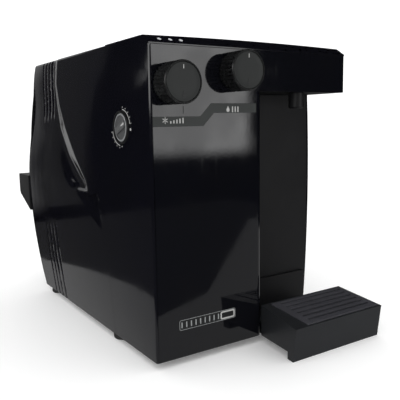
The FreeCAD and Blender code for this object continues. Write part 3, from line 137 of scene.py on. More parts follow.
class DispenserStage(bpy.types.PropertyGroup):
    """Camera and light."""

    focal: bpy.props.FloatProperty(
        name="Focal length", description="Lens focal length in millimetres on a 36 mm sensor", default=50.42)
    yaw: bpy.props.FloatProperty(
        name="Yaw", description="Turn of the camera to the right", default=math.radians(33.13),
        subtype="ANGLE")
    pitch: bpy.props.FloatProperty(
        name="Pitch", description="Tilt of the camera downwards", default=math.radians(8.22), subtype="ANGLE")
    roll: bpy.props.FloatProperty(
        name="Roll", description="Roll of the camera", default=math.radians(0.91), subtype="ANGLE")
    position: bpy.props.FloatVectorProperty(
        name="Position", description="Where the camera stands", default=(-0.46315, -0.77746, 0.30375),
        unit="LENGTH")
    sky: bpy.props.FloatProperty(
        name="Sky", description="Strength of the even studio light", default=1.25)
    front_card: bpy.props.FloatProperty(
        name="Front card", description="Strength of the large card in front", default=3.1)
    side_card: bpy.props.FloatProperty(
        name="Side card", description="Strength of the small card at the left", default=0.60)
    edge_card: bpy.props.FloatProperty(
        name="Edge card", description="Strength of the tall card at the left front", default=3.2)
    back_card: bpy.props.FloatProperty(
        name="Back card", description="Strength of the card behind", default=0.5)
    floor_glow: bpy.props.FloatProperty(
        name="Floor glow", description="Brightness of the floor in reflections", default=0.38)


SETTINGS = (
    ("dispenser_shape", DispenserShape),
    ("dispenser_finish", DispenserFinish),
    ("dispenser_stage", DispenserStage),
)


# ---------------------------------------------------------------- materials


class Wire:
    """An output of a shader node. Arithmetic on it adds Math nodes."""

    def __init__(self, paint, socket):
        self.paint = paint
        self.socket = socket

    def __add__(self, other):
        return self.paint.math("ADD", self, other)

    def __radd__(self, other):
        return self.paint.math("ADD", other, self)

    def __sub__(self, other):
        return self.paint.math("SUBTRACT", self, other)

    def __rsub__(self, other):
        return self.paint.math("SUBTRACT", other, self)

    def __mul__(self, other):
        return self.paint.math("MULTIPLY", self, other)

    def __rmul__(self, other):
        return self.paint.math("MULTIPLY", other, self)


class Paint:
    """A material that is being built."""

    def __init__(self, name):
        self.material = bpy.data.materials.new(name)
        self.material.use_nodes = True
        self.tree = self.material.node_tree
        self.tree.nodes.clear()
        self.place = self.node("ShaderNodeTexCoord", output="Object")

    def node(self, kind, settings=None, inputs=None, output=0):
        """Adds one node: its type, its settings, then its socket values or links."""
        made = self.tree.nodes.new(kind)
        for key, value in (settings or {}).items():
            setattr(made, key, value)
        for key, value in (inputs or {}).items():
            if isinstance(value, Wire):
                self.tree.links.new(value.socket, made.inputs[key])
            else:
                made.inputs[key].default_value = value
        return Wire(self, made.outputs[output])

    def math(self, operation, *values):
        return self.node("ShaderNodeMath", {"operation": operation}, dict(enumerate(values)))

    def noise(self, scale, detail=3.0, rough=0.5, place=None):
        return self.node("ShaderNodeTexNoise", None, {
            "Vector": place or self.place, "Scale": scale, "Detail": detail, "Roughness": rough})

    def cells(self, scale, feature="F1"):
        return self.node("ShaderNodeTexVoronoi", {"feature": feature}, {
            "Vector": self.place, "Scale": scale})

    def spread(self, value, low, high, start=0.0, end=1.0):
        """Eases low..high to start..end and holds it outside them."""
        return self.node("ShaderNodeMapRange", {"interpolation_type": "SMOOTHSTEP"}, {
            "Value": value, "From Min": low, "From Max": high, "To Min": start, "To Max": end})

    def stretched(self, scale):
        """Coordinates scaled by a different amount along each axis."""
        return self.node("ShaderNodeMapping", None, {"Vector": self.place, "Scale": scale})

    def axis(self, name, vector=None):
        return self.node("ShaderNodeSeparateXYZ", None, {"Vector": vector or self.place}, name)

    def blend(self, factor, first, second):
        """A colour between two others."""
        return self.node("ShaderNodeMix", {"data_type": "RGBA"}, {0: factor, 6: first, 7: second}, 2)

    def bump(self, height, strength, distance, normal=None):
        inputs = {"Height": height, "Strength": strength, "Distance": distance}
        if normal:
            inputs["Normal"] = normal
        return self.node("ShaderNodeBump", None, inputs)

    def finish(self, **sockets):
        """The surface, with each socket's name written with underscores."""
        inputs = {name.replace("_", " "): value for name, value in sockets.items()}
        return self.closed(self.node("ShaderNodeBsdfPrincipled", None, inputs))

    def closed(self, surface):
        """Ends the material with its output node."""
        out = self.tree.nodes.new("ShaderNodeOutputMaterial")
        self.tree.links.new(surface.socket, out.inputs["Surface"])
        return self.material


def colour(slot):
    """The base colour of one of the record's material slots."""
    found = next(m for m in frame["record"]["materials"] if m["slot"] == slot)
    return (*found["base_color"], 1.0)


def shade(rgba, factor):
    """A lighter or darker version of a colour."""
    return (*(min(1.0, c * factor) for c in rgba[:3]), 1.0)


def dusted(paint, base, amount):
    """Base colour with fine dust that lies mostly on what faces up."""
    facing = paint.axis("Z", paint.node("ShaderNodeNewGeometry", output="Normal"))
    settled = paint.spread(facing, 0.2, 1.0, 0.25, 1.0)
    specks = paint.spread(paint.noise(420.0, 4.0, 0.7), 0.52, 0.78)
    return paint.blend(specks * settled * amount, base, (0.32, 0.31, 0.30, 1.0))


def polished(slot, rough, tint, dust):
    """High-gloss moulded plastic: wiped smudges, faint flow waves, a few hairline scratches."""
    paint = Paint(slot)
    base = colour(slot)
    tone = paint.blend(paint.noise(9.0, 2.0), base, (*(c * t for c, t in zip(base, tint)), 1.0))
    smudge = paint.spread(paint.noise(26.0, 5.0, 0.62), 0.45, 0.75)
    wipe = paint.spread(paint.noise(1.0, 4.0, 0.6, paint.stretched((160.0, 160.0, 14.0))), 0.5, 0.8)
    scratch = paint.spread(paint.noise(1.0, 1.0, 0.3, paint.stretched((900.0, 60.0, 700.0))), 0.72, 0.80)
    wave = paint.bump(paint.noise(11.0, 1.0), 0.10, 0.002)
    peel = paint.bump(paint.noise(260.0, 2.0), 0.03, 0.0004, wave)
    return paint.finish(
        Base_Color=dusted(paint, tone, dust),
        Roughness=rough + smudge * 0.05 + wipe * 0.035 + scratch * 0.10,
        Normal=peel,
        IOR=1.5,
    )


def grained(slot, rough, grain=900.0, depth=0.25, dust=0.05, tone=1.0):
    """Matt or satin moulded plastic with a fine spark-eroded grain and handling marks."""
    paint = Paint(slot)
    base = shade(colour(slot), tone)
    worn = paint.spread(paint.noise(34.0, 5.0, 0.65), 0.42, 0.72)
    handled = paint.blend(worn * 0.5, base, shade(base, 1.35))
    texture = paint.cells(grain) * 0.6 + paint.noise(grain * 0.7, 3.0, 0.6) * 0.6
    scuff = paint.spread(paint.noise(1.0, 2.0, 0.4, paint.stretched((600.0, 90.0, 240.0))), 0.66, 0.78)
    wave = paint.bump(paint.noise(16.0, 1.0), 0.08, 0.002)
    return paint.finish(
        Base_Color=dusted(paint, handled, dust),
        Roughness=rough + worn * 0.06 - scuff * 0.08,
        Normal=paint.bump(texture, depth, 0.00012, wave),
        IOR=1.49,
        Specular_IOR_Level=0.24,
    )


def knob_barrel(slot, tone):
    """The grip of a knob: satin plastic polished on its ribs by hands."""
    paint = Paint(slot)
    base = shade(colour(slot), tone)
    rubbed = paint.spread(paint.noise(120.0, 3.0), 0.4, 0.7)
    return paint.finish(
        Base_Color=dusted(paint, paint.blend(rubbed, base, shade(base, 1.5)), 0.04),
        Roughness=0.30 - rubbed * 0.08,
        Normal=paint.bump(paint.noise(1500.0, 3.0), 0.15, 0.0001),
        IOR=1.5,
        Specular_IOR_Level=0.40,
    )


def metal(slot, rough, streak=(40.0, 40.0, 900.0), patina=None):
    """Bare metal with drawn or brushed streaks and a light tarnish."""
    paint = Paint(slot)
    base = colour(slot)
    lines = paint.noise(1.0, 3.0, 0.6, paint.stretched(streak))
    tarnish = paint.spread(paint.noise(45.0, 5.0, 0.65), 0.48, 0.72)
    return paint.finish(
        Base_Color=paint.blend(tarnish * 0.4, base, patina or shade(base, 0.6)),
        Metallic=0.98 - tarnish * 0.25,
        Roughness=rough + lines * 0.14 + tarnish * 0.18,
        Normal=paint.bump(lines, 0.12, 0.0001),
    )


def dial_silver(slot):
    """The dial: a plated rim round a dark stippled face, turned in fine rings about its axis."""
    paint = Paint(slot)
    base = colour(slot)
    low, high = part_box("thermostat_dial")
    width = high.z - low.z
    across = paint.axis("Y") - (low.y + high.y) / 2
    up = paint.axis("Z") - (low.z + high.z) / 2
    radius = paint.math("SQRT", across * across + up * up)
    rings = paint.math("SINE", radius * 9000.0)
    worn = paint.spread(paint.noise(160.0, 4.0), 0.42, 0.72)
    stipple = paint.spread(paint.cells(1500.0), 0.1, 0.5)
    disc = paint.blend(stipple, shade(base, 0.10), shade(base, 0.26))
    plated = paint.blend(worn * 0.5, shade(base, 0.75), shade(base, 0.5))
    return paint.finish(
        Base_Color=paint.blend(paint.spread(radius, width * 0.42, width * 0.435), disc, plated),
        Metallic=0.30 - worn * 0.10,
        Roughness=0.30 + worn * 0.12,
        Normal=paint.bump(rings, 0.35, 0.00015),
    )


def rubber(slot):
    """Dull rubber with bloom and lint."""
    paint = Paint(slot)
    base = colour(slot)
    bloom = paint.spread(paint.noise(70.0, 5.0, 0.7), 0.4, 0.75)
    return paint.finish(
        Base_Color=dusted(paint, paint.blend(bloom * 0.6, base, shade(base, 2.2)), 0.25),
        Roughness=0.74 + bloom * 0.14,
        Normal=paint.bump(paint.noise(900.0, 4.0), 0.3, 0.0002),
    )


def foam(slot):
    """Expanded foam beads."""
    paint = Paint(slot)
    base = colour(slot)
    gaps = paint.spread(paint.cells(260.0, "DISTANCE_TO_EDGE"), 0.0, 0.08)
    return paint.finish(
        Base_Color=paint.blend(gaps, shade(base, 0.7), base),
        Roughness=0.86 - gaps * 0.1,
        Normal=paint.bump(paint.cells(260.0), 0.5, 0.0006),
    )


def hose(slot):
    """Milky food hose."""
    paint = Paint(slot)
    base = colour(slot)
    haze = paint.spread(paint.noise(90.0, 4.0), 0.4, 0.7)
    return paint.finish(
        Base_Color=paint.blend(haze, base, shade(base, 1.2)),
        Roughness=0.22 + haze * 0.14,
        Normal=paint.bump(paint.noise(400.0, 2.0), 0.1, 0.0003),
        Transmission_Weight=0.35,
        IOR=1.43,
    )


def mark(name, rgb, rough):
    """Screen-printed ink, slightly uneven."""
    paint = Paint(name)
    uneven = paint.spread(paint.noise(1400.0, 4.0, 0.7), 0.35, 0.7)
    return paint.finish(
        Base_Color=paint.blend(uneven * 0.5, (*rgb, 1.0), (*(c * 0.72 for c in rgb), 1.0)),
        Roughness=rough + uneven * 0.12,
        Normal=paint.bump(uneven, 0.1, 0.00005),
    )


# The materials made so far, by name.
MADE = {}


def finish_of(slot):
    """The material of a slot, made once."""
    if slot not in MADE:
        MADE[slot] = RECIPES[slot](slot, bpy.context.scene.dispenser_finish)
    return MADE[slot]


def ink(tone):
    """The material of a printed mark, made once."""
    name, rgb, rough = INKS[tone]
    if name not in MADE:
        MADE[name] = mark(name, rgb, rough)
    return MADE[name]


RECIPES = {
    "gloss_black": lambda slot, f: polished(slot, f.gloss, (0.9, 0.92, 1.3), f.dust),
    "panel_black": lambda slot, f: polished(slot, f.gloss * 0.6, (0.9, 1.0, 1.3), f.dust),
    "satin_black": lambda slot, f: grained(slot, f.satin, dust=f.dust),
    "tray_grey": lambda slot, f: grained(slot, 0.36, 1100.0, 0.18, f.dust),
    "grille_grey": lambda slot, f: grained(slot, 0.34, 1200.0, 0.15, f.dust, 1.7),
    "knob_black": lambda slot, f: knob_barrel(slot, 0.55),
    "knob_face": lambda slot, f: grained(slot, 0.40, 1400.0, 0.12, f.dust * 0.5, 0.85),
    "ribbon_grey": lambda slot, f: grained(slot, 0.38, 1500.0, 0.08, f.dust * 0.5),
    "badge_grey": lambda slot, f: grained(slot, 0.34, 1500.0, 0.08, f.dust * 0.5),
    "lens_white": lambda slot, f: mark(slot, colour(slot)[:3], 0.3),
    "dial_silver": lambda slot, f: dial_silver(slot),
    "grey_plastic": lambda slot, f: grained(slot, 0.45, 900.0, 0.2, f.dust),
    "white_plastic": lambda slot, f: grained(slot, 0.38, 900.0, 0.15, f.dust),
    "foam_white": lambda slot, f: foam(slot),
    "rubber_black": lambda slot, f: rubber(slot),
    "steel": lambda slot, f: metal(slot, 0.22),
    "zinc_steel": lambda slot, f: metal(slot, 0.30, (300.0, 300.0, 300.0), (0.50, 0.47, 0.36, 1.0)),
    "black_paint": lambda slot, f: grained(slot, 0.30, 500.0, 0.3, f.dust * 3),
    "brass_plain": lambda slot, f: metal(slot, 0.24, (300.0, 300.0, 60.0), (0.30, 0.22, 0.10, 1.0)),
    "copper_tube": lambda slot, f: metal(slot, 0.26, (200.0, 200.0, 200.0), (0.22, 0.12, 0.08, 1.0)),
    "hose_clear": lambda slot, f: hose(slot),
    "lead_sheath": lambda slot, f: grained(slot, 0.5, 1200.0, 0.15, f.dust),
}

INKS = {
    "white": ("printed_white", (0.42, 0.42, 0.41), 0.5),
    "dark": ("printed_dark", (0.008, 0.008, 0.010), 0.35),
    "grey": ("printed_grey", (0.26, 0.27, 0.27), 0.5),
}

SLOT_OF = {
    "gloss_black": ("front_shell", "rear_shell", "control_strip"),
    "panel_black": ("front_panel",),
    "satin_black": ("back_cover", "rear_spacer", "base_plate", "bay_liner", "bay_plinth", "head_soffit",
                    "tray_guides", "spout", "thermostat_bezel", "power_gland"),
    "rubber_black": ("feet", "spout_seal", "compressor_mounts"),
    "ribbon_grey": ("label_ribbon",),
    "badge_grey": ("badge_plate",),
    "lens_white": ("indicator_lenses",),
    "tray_grey": ("drip_tray",),
    "grille_grey": ("drip_grille",),
    "knob_black": ("cold_knob", "room_knob"),
    "knob_face": ("cold_knob_cap", "room_knob_cap"),
    "brass_plain": ("cold_stem", "room_stem"),
    "white_plastic": ("cold_tap", "room_tap", "spout_elbow", "tank_lid", "filter_cartridge",
                      "terminal_block"),
    "zinc_steel": ("tap_lock_nuts", "thermostat_bracket", "tank_shelf", "filter_bracket", "casing_screws"),
    "dial_silver": ("thermostat_dial",),
    "grey_plastic": ("thermostat_body", "relay_cover", "filter_head", "water_inlet_port"),
    "steel": ("cold_tank",),
    "copper_tube": ("evaporator_coil", "filter_dryer", "refrigerant_lines"),
    "foam_white": ("insulation",),
    "black_paint": ("compressor", "condenser", "condenser_wires"),
    "lead_sheath": ("internal_leads",),
}


def slot_of(node):
    """The slot of a CAD node. The hoses are the only nodes that aren't listed."""
    return next((slot for slot, nodes in SLOT_OF.items() if node in nodes), "hose_clear")


# ---------------------------------------------------------------- shaping


def linked(name, form, material):
    """Turns a bmesh into an object of the scene."""
    mesh = bpy.data.meshes.new(name)
    form.to_mesh(mesh)
    form.free()
    mesh.materials.append(material)
    piece = bpy.data.objects.new(name, mesh)
    bpy.context.scene.collection.objects.link(piece)
    return piece


def placed(name, form, slot, body, material=None, sharp=40.0):
    """Turns a bmesh into a smooth piece that rides a CAD body, with edges over the sharp angle left hard."""
    bmesh.ops.recalc_face_normals(form, faces=form.faces)
    for face in form.faces:
        face.smooth = True
    for edge in form.edges:
        if len(edge.link_faces) == 2 and edge.calc_face_angle() > math.radians(sharp):
            edge.smooth = False
    piece = linked(name, form, material or finish_of(slot))
    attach(piece, body)
    return piece


def weighted(piece):
    """Keeps broad faces flat to the eye beside their rounded edges."""
    made = piece.modifiers.new("Weighted normals", "WEIGHTED_NORMAL")
    made.keep_sharp = True
    made.weight = 80


def softened(node, bevel, segments=2, crease=30.0, broad=None, broad_bevel=0.002):
    """Replaces a CAD node by a copy with its hard edges rounded, those that broad picks out more widely."""
    form = bmesh.new()
    form.from_mesh(frame["nodes"][node].data)
    bmesh.ops.remove_doubles(form, verts=form.verts, dist=1e-6)
    bmesh.ops.dissolve_limit(form, angle_limit=math.radians(0.3), verts=form.verts, edges=form.edges,
                             use_dissolve_boundaries=False)
    limit = math.radians(crease)

    def hard():
        return [e for e in form.edges if len(e.link_faces) == 2 and e.calc_face_angle() > limit]

    if broad:
        wide = [e for e in hard() if all(broad(v.co) for v in e.verts)]
        bmesh.ops.bevel(form, geom=wide, offset=broad_bevel, offset_type="OFFSET", affect="EDGES",
                        segments=5, profile=0.5, material=-1)
    bmesh.ops.bevel(form, geom=hard(), offset=bevel, offset_type="OFFSET", affect="EDGES",
                    segments=segments, profile=0.5, material=-1, clamp_overlap=True)
    piece = placed(node + "_look", form, slot_of(node), frame["nodes"][node]["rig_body"])
    weighted(piece)
    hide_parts(node)


def turned(rows, steps, centre, axis, draw=None):
    """A closed form spun round an axis through centre. Each row is a radius, a place along the axis and the
    share of the grip's depth there. Draw gives that depth at each step of the spin."""
    form = bmesh.new()
    share = form.verts.layers.float.new("share")
    up = Vector((0, 0, 1))
    across = axis.cross(up)
    hub = centre - axis * centre.dot(axis)
    profile = []
    for radius, along, part in rows:
        vert = form.verts.new(hub + axis * along + up * radius)
        vert[share] = part
        profile.append(vert)
    edges = [form.edges.new(pair) for pair in zip(profile, profile[1:])]
    bmesh.ops.spin(form, geom=profile + edges, cent=centre, axis=axis, dvec=(0, 0, 0), angle=math.tau,
                   steps=steps, use_merge=True)
    bmesh.ops.remove_doubles(form, verts=form.verts, dist=1e-6)
    bmesh.ops.holes_fill(form, edges=[e for e in form.edges if len(e.link_faces) == 1], sides=0)
    for vert in (v for v in form.verts if v[share] > 0):
        arm = vert.co - centre
        arm -= axis * arm.dot(axis)
        place = round(math.atan2(arm.dot(across), arm.dot(up)) / math.tau * steps)
        vert.co -= arm.normalized() * vert[share] * draw(place)
    form.verts.layers.float.remove(share)
    return form


def prism(form, outline, place, thick):
    """A flat plate: outline points (u, v) put on a surface by place(u, v, height) and raised by thick."""
    foot = form.faces.new([form.verts.new(place(u, v, 0.0)) for u, v in outline])
    made = bmesh.ops.extrude_face_region(form, geom=[foot])["geom"]
    raised = [g for g in made if isinstance(g, bmesh.types.BMVert)]
    bmesh.ops.translate(form, verts=raised, vec=place(*outline[0], thick) - place(*outline[0], 0.0))


def bar(form, start, end, width, place, thick):
    """A straight printed stroke from start to end in (u, v), with round ends."""
    a, b = Vector(start), Vector(end)
    turn = math.atan2(b.y - a.y, b.x - a.x)
    facets = 6
    points = []
    for centre, first in ((b, -math.pi / 2), (a, math.pi / 2)):
        for i in range(facets + 1):
            angle = turn + first + math.pi * i / facets
            points.append((centre.x + math.cos(angle) * width / 2, centre.y + math.sin(angle) * width / 2))
    prism(form, points, place, thick)


def ring(form, outline_out, outline_in, place, thick):
    """A flat closed band between two outlines with the same number of points."""
    count = len(outline_out)
    corners = ((outline_out, 0.0), (outline_out, thick), (outline_in, thick), (outline_in, 0.0))
    rows = [[form.verts.new(place(u, v, h)) for u, v in outline] for outline, h in corners]
    for one, two in zip(rows, rows[1:] + rows[:1]):
        for i in range(count):
            j = (i + 1) % count
            form.faces.new((one[i], one[j], two[j], two[i]))


def rounded_outline(left, right, low, high, radius, steps=5):
    """A rectangle with round corners, as (u, v) points."""
    points = []
    for cu, cv, first in ((right - radius, high - radius, 0), (left + radius, high - radius, 90),
                          (left + radius, low + radius, 180), (right - radius, low + radius, 270)):
        for i in range(steps + 1):
            angle = math.radians(first + 90 * i / steps)
            points.append((cu + radius * math.cos(angle), cv + radius * math.sin(angle)))
    return points


def circle_outline(radius, count, centre):
    """A circle as (u, v) points."""
    turns = [math.tau * i / count for i in range(count)]
    return [(centre[0] + radius * math.cos(t), centre[1] + radius * math.sin(t)) for t in turns]


def on_front(y):
    """Places (x, z, height) marks on a plane that faces the front."""
    return lambda u, v, h: Vector((u, y - h, v))


def step(value, low, high):
    """A smooth step from 0 at low to 1 at high."""
    t = min(1.0, max(0.0, (value - low) / (high - low)))
    return t * t * (3 - 2 * t)


def ramp(value, low, high):
    """An even slope from 0 at low to 1 at high, eased at both ends."""
    t = min(1.0, max(0.0, (value - low) / (high - low)))
    ease = 0.12
    if t < ease:
        return t * t / (2 * ease * (1 - ease))
    if t > 1 - ease:
        return 1 - (1 - t) ** 2 / (2 * ease * (1 - ease))
    return (t - ease / 2) / (1 - ease)


def along_line(points, place):
    """Reads a line of (value, place) points, sorted from the last place to the first, at one place."""
    if place >= points[0][1]:
        return points[0][0]
    for (value_on, on), (value_off, off) in zip(points, points[1:]):
        if off <= place <= on:
            return value_off + (value_on - value_off) * (place - off) / (on - off)
    return points[-1][0]


# ---------------------------------------------------------------- the rear casing

# The moulded relief of a side, as depths behind the front and levels above the counter: the slope's two
# edges, the ledge at its foot, the scoop under the ledge, and the slanted grooves near the back, each by its
# depths at the two groove levels.
SLOPE_FRONT = ((0.300, 0.394), (0.298, 0.361), (0.278, 0.327), (0.250, 0.294), (0.211, 0.255),
               (0.173, 0.219), (0.170, 0.208))
SLOPE_BACK = ((0.311, 0.395), (0.312, 0.362), (0.304, 0.328), (0.288, 0.293), (0.251, 0.253),
              (0.198, 0.217), (0.185, 0.206))
LEDGE = 0.204
SCOOP_TIP = (0.126, 0.158)
SCOOP_FRONT = 0.138
SCOOP_BACK = 0.215
GROOVE_LEVELS = (0.090, 0.395)
GROOVES_LOW = (0.313, 0.329, 0.345, 0.362)
GROOVES_HIGH = (0.324, 0.338, 0.353, 0.369)


def slope(depth, level):
    """The share of the sunken area's depth: it grows across the slope and fades towards the top."""
    if level <= LEDGE - 0.002:
        return 0.0
    across = ramp(depth, along_line(SLOPE_FRONT, level), along_line(SLOPE_BACK, level))
    reach = 0.006 + 0.105 * step(depth, 0.205, 0.330)
    return across * step(level, LEDGE - 0.001, LEDGE + reach) * (1 - 0.7 * step(level, 0.320, 0.392))


def scoop(depth, level):
    """The share of the hand hold's depth: it narrows and runs out down to its tip."""
    tip, tip_level = SCOOP_TIP
    if not tip_level < level < LEDGE:
        return 0.0
    rise = (level - tip_level) / (LEDGE - tip_level)
    near = tip + (SCOOP_FRONT - tip) * rise
    far = tip + 0.006 + (SCOOP_BACK - tip - 0.006) * rise
    back_fade = 1 - step(depth, far - 0.030 * rise - 0.002, far)
    top_fade = 1 - step(level, LEDGE - 0.0025, LEDGE)
    return rise * step(depth, near, near + 0.004) * back_fade * top_fade


def grooves(depth, level, width):
    """The share of the grooves' depth: round-bottomed, with an upper and a lower stretch."""
    stretch = step(level, 0.300, 0.335) + 1 - step(level, 0.120, 0.150)
    lean = (level - GROOVE_LEVELS[0]) / (GROOVE_LEVELS[1] - GROOVE_LEVELS[0])
    share = 0.0
    for low, high in zip(GROOVES_LOW, GROOVES_HIGH):
        away = abs(depth - low - (high - low) * lean) / (width / 2)
        if away < 1:
            share += stretch * (0.5 + 0.5 * math.cos(math.pi * away))
    return share


def relief(depth, level):
    """How far the side is pressed in, at a depth behind the front and a level above the counter."""
    shape = bpy.context.scene.dispenser_shape
    pressed = max(shape.step_depth * slope(depth, level), shape.scoop_depth * scoop(depth, level))
    return pressed + shape.groove_depth * grooves(depth, level, shape.groove_width)


def front_rim(place):
    """The outer edge of the casing's front, at the sides and the top."""
    return place.y < FRONT + 0.001 and (abs(place.x) > HALF_WIDTH - 0.0006 or place.z > CORNER_LEVEL - 0.001)


def casing_swell():
    """Reads from the CAD casing how far its sides swell at mid height, as a line of (swell, y) points."""
    mesh = frame["nodes"]["rear_shell"].data
    tree = BVHTree.FromPolygons([v.co[:] for v in mesh.vertices], [p.vertices[:] for p in mesh.polygons])
    count = 12
    first, last = SEAM + 0.0015, BACK_EDGE + BACK_SWELL - 0.0025
    line = []
    for i in range(count):
        y = last + (first - last) * i / (count - 1)
        found = tree.ray_cast(Vector((OUTSIDE_LEFT, y, SIDE_MIDDLE)), Vector((1, 0, 0)))[0]
        line.append((-found.x - HALF_WIDTH, y))
    return line


def steps_between(*marks):
    """Positions along a line that is given as (start, spacing) marks, the last with no spacing."""
    places = []
    for (start, spacing), (end, _) in zip(marks, marks[1:]):
        count = max(1, round((end - start) / spacing))
        places += [start + (end - start) * i / count for i in range(count)]
    return places + [marks[-1][0]]


def build_rear_casing():
    """The rear shell's skin: a grid bent round its sides and top, with the relief pressed in and a rim."""
    corner = bpy.context.scene.dispenser_shape.corner
    swell = casing_swell()
    wall = 0.0026
    depths = steps_between((0.0, 0.0008), (0.004, 0.003), (0.100, 0.0022), (0.200, 0.003), (0.218, 0.0013),
                           (0.262, 0.003), (0.3065, None))
    shares = [depth / depths[-1] for depth in depths]
    levels = steps_between((SHELL_FOOT, 0.0030), (0.158, 0.0022), (0.200, 0.0008), (0.208, 0.003),
                           (CORNER_LEVEL - corner, None))
    turns = 5
    tops = 40
    section = [("left", z) for z in levels]
    section += [("left_turn", i / turns) for i in range(1, turns)]
    section += [("top", -1 + 2 * i / tops) for i in range(tops + 1)]
    section += [("right_turn", 1 - i / turns) for i in range(1, turns)]
    section += [("right", z) for z in reversed(levels)]

    def side(y, z):
        """Half the casing's width at a place on its side."""
        bulge = along_line(swell, y) * (1 - ((z - SIDE_MIDDLE) / SIDE_REACH) ** 2)
        return HALF_WIDTH + bulge - relief(y - FRONT, z)

    def point(share, kind, value):
        """A point of the skin: share of the way back, then the place round the section."""
        upright = kind in ("left", "right")
        level = value if upright else CORNER_LEVEL
        back = BACK_EDGE + BACK_SWELL * (1 - ((level - BACK_MIDDLE) / BACK_REACH) ** 2)
        y = SEAM + share * (back - SEAM)
        sign = -1 if kind.startswith("left") else 1
        if upright:
            return Vector((sign * side(y, level), y, level))
        edge = side(y, CORNER_LEVEL - corner)
        if kind == "top":
            x = value * (edge - corner)
            return Vector((x, y, CORNER_LEVEL + CROWN * (1 - (x / HALF_WIDTH) ** 2)))
        angle = math.pi / 2 * value
        x = edge - corner + corner * math.cos(angle)
        z = CORNER_LEVEL - corner + corner * math.sin(angle)
        return Vector((sign * x, y, z))

    form = bmesh.new()
    across, deep = len(section) - 1, len(shares) - 1
    bmesh.ops.create_grid(form, x_segments=across, y_segments=deep, size=0.5)
    for vert in form.verts:
        i = round((vert.co.x + 0.5) * across)
        j = round((vert.co.y + 0.5) * deep)
        vert.co = point(shares[j], *section[i])
    rim = [e for e in form.edges if len(e.link_faces) == 1]
    made = bmesh.ops.extrude_edge_only(form, edges=rim)["geom"]
    for vert in (g for g in made if isinstance(g, bmesh.types.BMVert)):
        on_side = vert.co.z < CORNER_LEVEL - 0.01
        inward = Vector((-vert.co.x, 0, 0)) if on_side else Vector((0, 0, -1))
        vert.co += inward.normalized() * wall
    piece = placed("rear_casing", form, "gloss_black", "root", sharp=34)
    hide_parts("rear_shell")


# ---------------------------------------------------------------- knobs and dial


def build_knob(node, body):
    """A tap knob: fluted grip, smooth lip at the face and a shallow recess for its cap."""
    shape = bpy.context.scene.dispenser_shape
    low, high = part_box(node)
    radius = (high.x - low.x) / 2
    back, face = high.y, low.y
    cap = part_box(node + "_cap")
    cap_radius = (cap[1].x - cap[0].x) / 2 + 0.0001
    shelf = cap[1].y
    rows = (
        (0.0070, back, 0.0), (radius - 0.0030, back, 0.0), (radius - 0.0012, back - 0.0002, 0.0),
        (radius - 0.0004, back - 0.0010, 0.5), (radius - 0.0001, back - 0.0020, 1.0),
        (radius - 0.0001, back - 0.0100, 1.0), (radius - 0.0003, face + 0.0048, 1.0),
        (radius - 0.0004, face + 0.0040, 0.6), (radius - 0.0006, face + 0.0034, 0.0),
        (radius, face + 0.0026, 0.0), (radius, face + 0.0011, 0.0), (radius - 0.0003, face + 0.0004, 0.0),
        (radius - 0.0011, face, 0.0), (cap_radius + 0.0006, face, 0.0), (cap_radius, face + 0.0004, 0.0),
        (cap_radius, shelf, 0.0), (0.0040, shelf, 0.0),
    )
    per_flute = 8

    def flute(i):
        return shape.flute_depth * (0.5 + 0.5 * math.cos(math.tau * i / per_flute)) ** 1.6

    form = turned(rows, shape.flutes * per_flute, (low + high) / 2, Vector((0, 1, 0)), flute)
    piece = placed(node + "_grip", form, "knob_black", body, sharp=50)
    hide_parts(node)


def build_cap(node, body):
    """The charcoal face of a knob: dished a little, with a rounded edge."""
    low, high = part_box(node)
    radius = (high.x - low.x) / 2
    face, back = low.y, high.y
    rows = ((0.0, back, 0.0), (radius - 0.0002, back, 0.0), (radius, back - 0.0002, 0.0),
            (radius - 0.0004, face + 0.0005, 0.0), (radius - 0.0008, face + 0.0001, 0.0),
            (radius - 0.0014, face, 0.0), (radius - 0.0020, face + 0.00015, 0.0),
            (radius * 0.66, face + 0.00030, 0.0), (radius * 0.33, face + 0.00042, 0.0),
            (0.0, face + 0.00045, 0.0))
    form = turned(rows, 96, (low + high) / 2, Vector((0, 1, 0)))
    piece = placed(node + "_face", form, "knob_face", body, sharp=30)
    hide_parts(node)


def build_knob_marks(node, body):
    """A white pointer line at the top of the face and a small moulded mark below."""
    low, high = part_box(node)
    x, z = (low.x + high.x) / 2, (low.z + high.z) / 2
    radius = (high.x - low.x) / 2
    place = on_front(low.y + 0.00020)
    thick = bpy.context.scene.dispenser_shape.print_lift + 0.0002
    form = bmesh.new()
    bar(form, (x, z + radius * 0.66), (x, z + radius * 0.84), 0.0008, place, thick)
    placed(node + "_pointer", form, "lens_white", body, ink("white"))
    form = bmesh.new()
    foot = z - radius * 0.66
    prism(form, circle_outline(0.0009, 16, (x, foot + 0.0035)), place, thick)
    for half, level in ((0.0022, foot), (0.0012, foot - 0.0026)):
        bar(form, (x - half, level), (x + half, level), 0.0010, place, thick)
    placed(node + "_signs", form, "knob_black", body, ink("dark"))


def on_side(tree):
    """Places (y, z, height) marks on the left side of the casing, whatever its shape."""
    def place(u, v, h):
        found, *_ = tree.ray_cast(Vector((OUTSIDE_LEFT, u, v)), Vector((1, 0, 0)))
        return found + Vector((-1, 0, 0)) * h
    return place


def side_tree():
    """The left side of both shells as they look, for laying prints on."""
    graph = bpy.context.evaluated_depsgraph_get()
    verts, faces = [], []
    for name in ("front_shell_look", "rear_casing"):
        mesh = bpy.data.objects[name].evaluated_get(graph).to_mesh()
        base = len(verts)
        verts += [v.co[:] for v in mesh.vertices]
        faces += [[base + i for i in p.vertices] for p in mesh.polygons]
    return BVHTree.FromPolygons(verts, faces)


